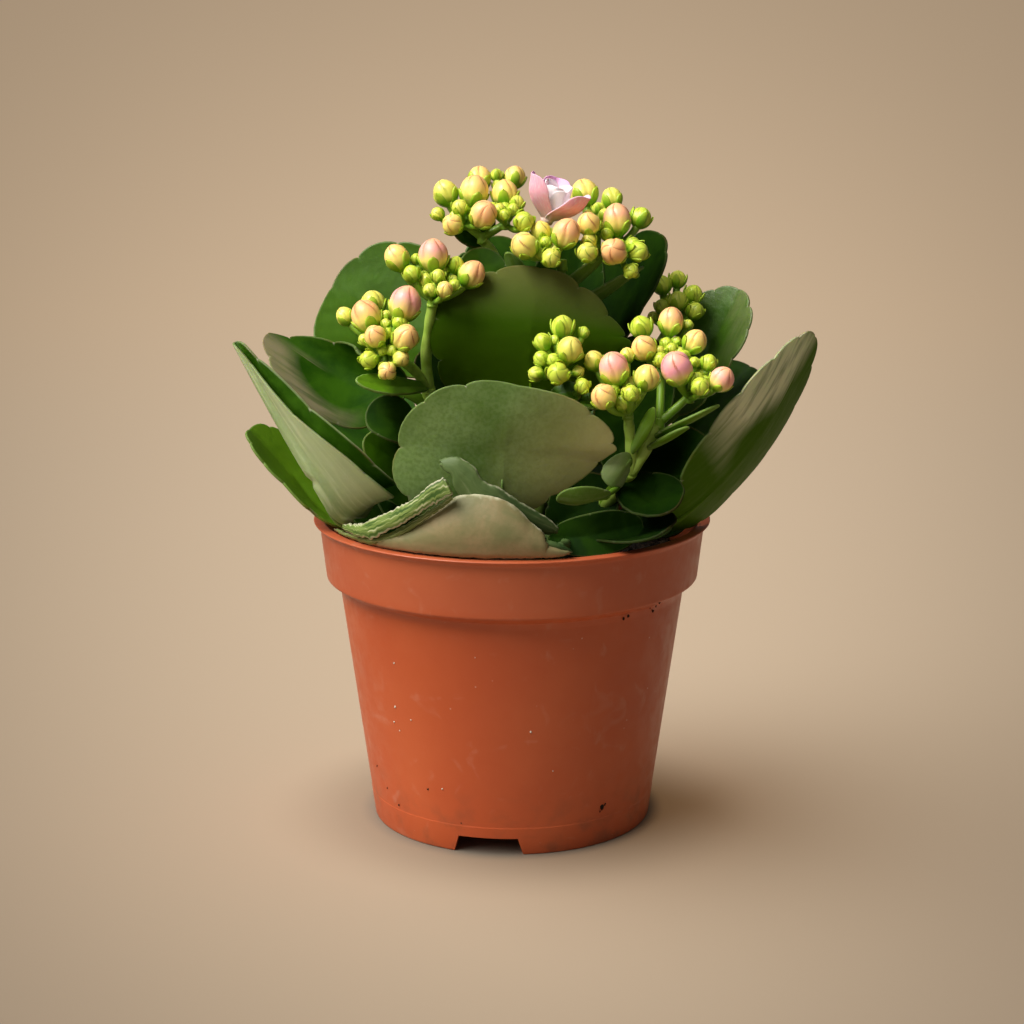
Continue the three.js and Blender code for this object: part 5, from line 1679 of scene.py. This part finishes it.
            self.sepal(draft, place, radius, stretch, (sepal_top, flare), axis, bearing, ripe)

    def sepal(
        self, draft: Draft, place: Array, radius: float, stretch: float, reach: Pair,
        axis: Array, bearing: float, ripe: float,
    ) -> None:
        """Adds one pointed sepal that hugs its bud.

        Args:
            draft: the mesh to add it to.
            place: the bud's middle.
            radius: the bud's greatest radius.
            stretch: half the bud's height.
            reach: level that it reaches up to, and how far it flares.
            axis: the way the bud's tip points.
            bearing: its turn about the axis.
            ripe: the bud's colour stage.
        """
        top, flare = reach
        right, front = self.frame(axis, 0.0)
        v = np.linspace(0, 1, 9)
        level = -0.97 + (0.97 + top) * v
        width = 0.66 * (1 - v) ** 0.62 * (0.75 + 0.6 * v)
        s = np.linspace(-1, 1, 7)
        angle = bearing + width[:, None] * s
        steps = np.linspace(-1, 1.1, 40)
        hug = np.maximum(np.interp(level, steps, self.body_radius(steps)), 0.28)
        spokes = right * np.cos(angle)[..., None] + front * np.sin(angle)[..., None]
        lift = radius * (hug[:, None] + 0.05 * (1 - s**2) + 0.02 + flare * v[:, None] ** 3)
        outer = place + spokes * lift[..., None] + axis * (level * stretch)[:, None, None]
        inner = place + spokes * (lift - 0.09 * radius)[..., None] + axis * (level * stretch)[:, None, None]
        rings = np.concatenate([outer, inner[:, ::-1]], axis=1)
        draft.skin(rings, rise=v[:, None] * 0.9, ripe=ripe, sepal=1.0)

    def build(self, finish: Material, bloom_seat: Array) -> list[Object]:
        """Makes each head as its own piece.

        Args:
            finish: the buds' material.
            bloom_seat: where the bloom's stalk ends.

        Returns:
            The heads.
        """
        pieces = []
        for number, (name, head) in enumerate(self.heads.items()):
            rng = np.random.default_rng(100 + number)
            draft = Draft(("rise", "ripe", "seam", "sepal", "stalk"))
            hubs = np.array(head.hubs, float)
            for hub in hubs[1:]:
                self.stem(draft, hubs[0], hub, 0.95, 0.85)
            for hub in hubs:
                self.stem(draft, hub - UP * 1.3, hub + UP * 1.2, 1.25, 1.0)
            for x, y, z, radius, stage in head.buds:
                place = np.array([x, y, z], float)
                hub = nearest(hubs, place)
                axis = unit(unit(place - hub) + UP * 0.6)
                self.stem(draft, hub, place - axis * 0.85 * radius, 0.6, 0.5 + 0.18 * radius, axis)
                self.bud(draft, place, radius, stage, axis, rng.uniform(0, 2 * math.pi))
            self.fill(draft, head, hubs, rng)
            if name == "head_top_centre":
                self.stem(draft, nearest(hubs, bloom_seat), bloom_seat, 0.6, 0.8)
            pieces.append(draft.piece(f"{name}_fine", finish, "bud", (name,)))
            LOG.info("made %s", name)
        return pieces

    def fill(self, draft: Draft, head: Head, hubs: Array, rng: np.random.Generator) -> None:
        """Adds tiny green buds low in the gaps between a head's buds.

        Args:
            draft: the mesh to add them to.
            head: the head.
            hubs: places where its stalks part.
            rng: the source of their places.
        """
        places = np.array([bud[:3] for bud in head.buds], float)
        taken, sizes = places, np.array([bud[3] for bud in head.buds])
        for _ in range(self.tries):
            first, second = rng.choice(len(places), 2, replace=False)
            middle = (places[first] + places[second]) / 2
            hub = nearest(hubs, middle)
            place = middle + (hub - middle) * rng.uniform(0.1, 0.45)
            size = rng.uniform(*self.filler_sizes)
            near = np.linalg.norm(taken - place, axis=1) - sizes
            if near.min() < 0.6 * size or near.min() > 3 * size or np.linalg.norm(place - hub) < 3:
                continue
            taken, sizes = np.vstack([taken, place]), np.append(sizes, size)
            axis = unit(unit(place - hub) + UP * 0.6)
            self.stem(draft, hub, place - axis * 0.85 * size, 0.5, 0.6, axis)
            self.bud(draft, place, size, Ripeness.GREEN, axis, rng.uniform(0, 2 * math.pi))

    def stem(
        self, draft: Draft, start: Array, stop: Array, first: float, last: float, arrive: Array | None = None
    ) -> None:
        """Adds a short stalk between two places.

        Args:
            draft: the mesh to add it to.
            start: where it starts.
            stop: where it ends.
            first: its radius at the start.
            last: its radius at the end.
            arrive: direction in which it ends, or None for a straight one.
        """
        span = np.linalg.norm(stop - start)
        way = unit(stop - start) if arrive is None else arrive
        t = np.linspace(0, 1, 8)[:, None]
        bend = stop - way * span * 0.4
        path = (1 - t) ** 2 * start + 2 * t * (1 - t) * bend + t**2 * stop
        draft.tube(path, np.linspace(first, last, 8), 8, stalk=1.0, rise=0.1)


@dataclass(frozen=True)
class Petal:
    """One petal of the bloom: bearing and lean in radians, length and half width, and how pale it is."""

    bearing: float
    lean: float
    length: float
    half: float
    pale: float = 0.0


@dataclass
class Bloom:
    """Bloom that has begun to open, with petals in layers round one axis."""

    seat: Place = (7.4, -4.4, 136.2)
    axis: Place = (0.3, -0.1, 1.0)
    throat: float = 0.8
    cup: tuple[Pair, ...] = ((0.2, 0.05), (1.3, 0.2), (1.55, 1.2), (1.35, 2.2), (0.9, 3), (0.2, 3.3))
    petals: tuple[Petal, ...] = (
        Petal(0.3, 0.34, 8.8, 3.1, 0.8), Petal(2.4, 0.3, 8.8, 3.1, 0.8), Petal(4.6, 0.26, 8.2, 3.1, 1.0),
        Petal(5.3, 0.4, 8.2, 2.8, 1.0), Petal(1.571, 0.6, 10.4, 4.2), Petal(3.5, 0.62, 11.4, 4.6),
        Petal(5.85, 0.8, 11.2, 4.4),
    )

    def stalk_end(self) -> Array:
        """Where the bloom's stalk meets it."""
        return np.array(self.seat) - 0.6 * unit(np.array(self.axis))

    def leaf(self, petal: Petal) -> Leaf:
        """A petal as a small cupped blade, before the bloom is tilted.

        Args:
            petal: the petal.

        Returns:
            The blade.
        """
        cosine, sine = math.cos(petal.bearing), math.sin(petal.bearing)
        spread, rise = math.sin(petal.lean) * petal.length, math.cos(petal.lean) * petal.length

        def out(distance: float, height: float) -> Place:
            """Place at a distance from the axis on the petal's bearing."""
            return (distance * cosine, distance * sine, height)

        return Leaf(
            out(0, 0), out(0.4 * self.throat, 0.9), out(self.throat + 0.66 * spread, 0.9 + 0.5 * rise),
            out(self.throat + 0.9 * spread, 0.9 + rise), (-cosine, -sine, 0.3), petal.half, 2, 0.0,
            crease=0.3, fold=(0.3, 0.3), thickness=0.7, blunt=0.42,
        )

    def build(self, finish: Material) -> Object:
        """Makes the bloom.

        Args:
            finish: its material.

        Returns:
            The bloom.
        """
        maker = BladeMaker(rings=14)
        draft = Draft((*maker.names, "rise", "pale"))
        for seed, petal in enumerate(self.petals):
            maker.add(draft, self.leaf(petal), seed, keel=0)
            rows = len(draft.values["rise"][-1])
            heights = draft.points[-2][:, 2]
            draft.values["rise"][-1] = np.append(heights / petal.length, [0.5, 0.5])[:rows]
            draft.values["pale"][-1] = np.full(rows, petal.pale)
        draft.skin(turned_rings(np.array(self.cup), 24))
        turn = np.array(Vector((0, 0, 1)).rotation_difference(Vector(self.axis)).to_matrix())
        draft.points = [points @ turn.T + np.array(self.seat) for points in draft.points]
        return draft.piece("bloom_fine", finish, "petal", ("bloom",))


# ---- Studio ----


@dataclass(frozen=True)
class Lamp:
    """Soft distant light.

    Args:
        name: its name.
        azimuth: degrees from the front, + to the right.
        elevation: degrees above the ground.
        strength: its power per square metre.
        softness: degrees across that it fills in the sky.
        colour: its colour.
    """

    name: str
    azimuth: float
    elevation: float
    strength: float
    softness: float
    colour: Colour


@dataclass
class Studio:
    """Plain pale floor that curves up into a wall all round, soft lights and the camera."""

    distance: float = 509.0
    height: float = 186.4
    pitch: float = 0.224
    focal_px: float = 2293.0
    frame_px: float = 1024.0
    sensor_mm: float = 36.0
    floor_colour: Colour = (0.463, 0.391, 0.298)
    glow_colour: Colour = (0.165, 0.09, 0.038)
    backdrop_colour: Colour = (0.7, 0.515, 0.34)
    pool_slope: float = 0.268
    pool_reach: float = 0.221
    pool_fade: float = 0.47
    lit_reach: Pair = (0.35, 0.95)
    painted_shade_reach: Pair = (0.028, 0.06)
    painted_shade_depth: float = 0.33
    painted_foot_shade_reach: Pair = (0.031, 0.036)
    floor_radius: float = 1.0
    curve_radius: float = 1.4
    wall_height: float = 2.0
    key: Lamp = Lamp("key_light", -66, 50, 4.3, 36, (1.0, 0.97, 0.92))
    front: Lamp = Lamp("front_light", -25, 38, 0.22, 50, (1.0, 0.98, 0.95))
    floor_lamp: Lamp = Lamp("floor_light", -90, 48, 4.1, 82, (1.0, 0.98, 0.96))
    shoot_lamp: Lamp = Lamp("shoot_light", -42, 48, 1.7, 30, (1.0, 0.97, 0.9))
    sky_colour: Colour = (1.0, 0.97, 0.93)
    sky_strength: float = 0.1

    def camera(self) -> None:
        """Makes the camera, in front of the pot and above the plant."""
        data = bpy.data.cameras.new("camera")
        data.sensor_width = self.sensor_mm
        data.lens = self.focal_px / self.frame_px * self.sensor_mm
        data.clip_start, data.clip_end = 0.01, 20.0
        camera = in_scene("camera", data)
        place = Pot.axis() + np.array([0.0, -self.distance, self.height])
        camera.matrix_world = Matrix.Translation(Vector(place * MM)) @ Matrix.Rotation(
            math.pi / 2 - self.pitch, 4, "X"
        )
        bpy.context.scene.camera = camera

    def painted_light_pool(self, recipe: Recipe) -> Socket:
        """Painted light: how far the paper's colour and glow fall off outside a bright patch behind the pot, which
        widens towards the back.

        Args:
            recipe: the material to add it to.

        Returns:
            How much of the light is missing.
        """
        x, y, z = recipe.sides()
        middle = Pot.axis() * MM
        depth = recipe.math("MAXIMUM", recipe.plus(y, self.distance * MM - middle[1]), 0.2)
        aside = recipe.math("DIVIDE", recipe.minus(x, middle[0]), depth)
        slope = recipe.math("DIVIDE", recipe.minus(self.height * MM, z), depth)
        slope = recipe.minus(slope, self.pool_slope)
        radius = recipe.reach(*(recipe.math("DIVIDE", side, self.pool_reach) for side in (aside, slope)))
        return recipe.step(radius, 0.15, 1.75, 0.0, self.pool_fade)

    def paper(self) -> Material:
        """Pale paper that passes from lit floor near the pot to an evenly glowing backdrop, with painted light and
        painted shade on it.

        Returns:
            The finished material.
        """
        recipe = Recipe("studio_paper")
        # pool: painted light that falls off away from the bright patch behind the pot.
        painted_light_pool, black = self.painted_light_pool(recipe), (0.0, 0.0, 0.0)
        distance = recipe.reach(*(recipe.minus(side, at) for side, at in zip(recipe.sides(), Pot.axis()[:2] * MM)))
        far = recipe.step(distance, *self.lit_reach)
        # Painted shade: the floor's colour and glow darken close round the pot's foot.
        shade = recipe.step(distance, *self.painted_shade_reach, self.painted_shade_depth, 0.0)
        # Painted shade: the glow goes black under the pot's foot and just round it.
        near = recipe.mix(recipe.step(distance, *self.painted_foot_shade_reach), black, self.glow_colour)
        glow = recipe.mix(painted_light_pool, recipe.mix(far, recipe.mix(shade, near, black), self.backdrop_colour), black)
        recipe.feed(recipe.surface.inputs["Emission Color"], glow)
        colour = recipe.mix(painted_light_pool, recipe.mix(far, recipe.mix(shade, self.floor_colour, black), black), black)
        return recipe.finish(colour, 0.9, Specular_IOR_Level=0.0, Emission_Strength=1.0)

    def sheet(self, name: str, radii: list[float], heights: list[float], paper: Material) -> Object:
        """Makes one round sheet of the studio.

        Args:
            name: its name.
            radii: radius of each ring, in metres.
            heights: height of each ring.
            paper: its material.

        Returns:
            The new object.
        """
        count = 128
        points = [(r * math.cos(a), r * math.sin(a), z) for r, z in zip(radii, heights) for a in circle(count)]
        faces = [
            (row * count + k, row * count + (k + 1) % count, (row + 1) * count + (k + 1) % count, (row + 1) * count + k)
            for row in range(len(radii) - 1) for k in range(count)
        ]
        if radii[0] < 0.1:
            faces.append(tuple(reversed(range(count))))
        mesh = bpy.data.meshes.new(name)
        mesh.from_pydata(points, [], faces)
        mesh.polygons.foreach_set("use_smooth", np.ones(len(mesh.polygons), bool))
        mesh.materials.append(paper)
        sheet = in_scene(name, mesh)
        return sheet

    def floor(self) -> Object:
        """Makes the floor, and round it the backdrop, which casts neither light nor shadow.

        Returns:
            The floor.
        """
        paper = self.paper()
        floor = self.sheet("studio_floor", [0.05, 0.3, 0.6, self.floor_radius], [0.0] * 4, paper)
        arc = np.linspace(0, np.pi / 2, 24)
        radii = list(self.floor_radius + self.curve_radius * np.sin(arc))
        heights = list(self.curve_radius * (1 - np.cos(arc)))
        backdrop = self.sheet("studio_backdrop", [*radii, radii[-1]], [*heights, self.wall_height], paper)
        backdrop.visible_diffuse = backdrop.visible_glossy = backdrop.visible_shadow = False
        return floor

    def group(self, name: str, member: Object, state: str) -> bpy.types.Collection:
        """Group of one object that a light reaches or leaves out.

        Args:
            name: the group's name.
            member: the object.
            state: whether it's reached or left out.

        Returns:
            The group.
        """
        group = bpy.data.collections.new(name)
        group.objects.link(member)
        group.collection_objects[0].light_linking.link_state = state
        return group

    def sun(self, lamp: Lamp) -> Object:
        """Adds a soft distant light.

        Args:
            lamp: what it's like.

        Returns:
            The new light.
        """
        data = bpy.data.lights.new(lamp.name, "SUN")
        data.energy, data.angle, data.color = lamp.strength, math.radians(lamp.softness), lamp.colour
        light = in_scene(lamp.name, data)
        turn, rise = math.radians(lamp.azimuth), math.radians(lamp.elevation)
        way = Vector((math.sin(turn) * math.cos(rise), -math.cos(turn) * math.cos(rise), math.sin(rise)))
        light.matrix_world = way.to_track_quat("Z", "Y").to_matrix().to_4x4()
        return light

    def build(self, pot: Object, shoots: list[Object]) -> None:
        """Makes floor, lights, sky and camera.

        Args:
            pot: the pot, which alone shades the floor.
            shoots: the stems, heads and bloom, which get a light more.
        """
        floor = self.floor()
        beside_floor = self.group("beside_floor", floor, "EXCLUDE")
        for lamp in (self.key, self.front):
            self.sun(lamp).light_linking.receiver_collection = beside_floor
        linking = self.sun(self.floor_lamp).light_linking
        linking.receiver_collection = self.group("floor_only", floor, "INCLUDE")
        linking.blocker_collection = self.group("pot_shade", pot, "INCLUDE")
        shoots_only = self.group("shoots_only", shoots[0], "INCLUDE")
        for shoot in shoots[1:]:
            shoots_only.objects.link(shoot)
        linking = self.sun(self.shoot_lamp).light_linking
        linking.receiver_collection = linking.blocker_collection = shoots_only
        world = bpy.data.worlds.new("studio_air")
        world.use_nodes = True
        background = world.node_tree.nodes["Background"]
        background.inputs["Color"].default_value = (*self.sky_colour, 1.0)
        background.inputs["Strength"].default_value = self.sky_strength
        bpy.context.scene.world = world
        bpy.context.scene.view_settings.view_transform = "Standard"
        self.camera()


def main() -> None:
    """Builds the plant, its pot and the studio, in order."""
    logging.basicConfig(level=logging.INFO, format="%(name)s: %(message)s")
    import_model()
    pot, soil_finish, leaf_finish = Pot(), SoilFinish().material(), LeafFinish().material()
    shell = pot.build(PotPlastic().material())
    Crumbs().build(pot, soil_finish, DustFinish().material())
    SoilBed().build(pot, soil_finish)
    LOG.info("made pot and soil")
    shoots = Shoots().build(StemFinish().material(), leaf_finish)
    Foliage().build(leaf_finish)
    SnappedLeaf().build(TornFinish().material())
    bloom = Bloom()
    shoots += FlowerHeads().build(BudFinish().material(), bloom.stalk_end())
    shoots.append(bloom.build(PetalFinish().material()))
    Studio().build(shell, shoots)


if __name__ == "__main__":
    main()
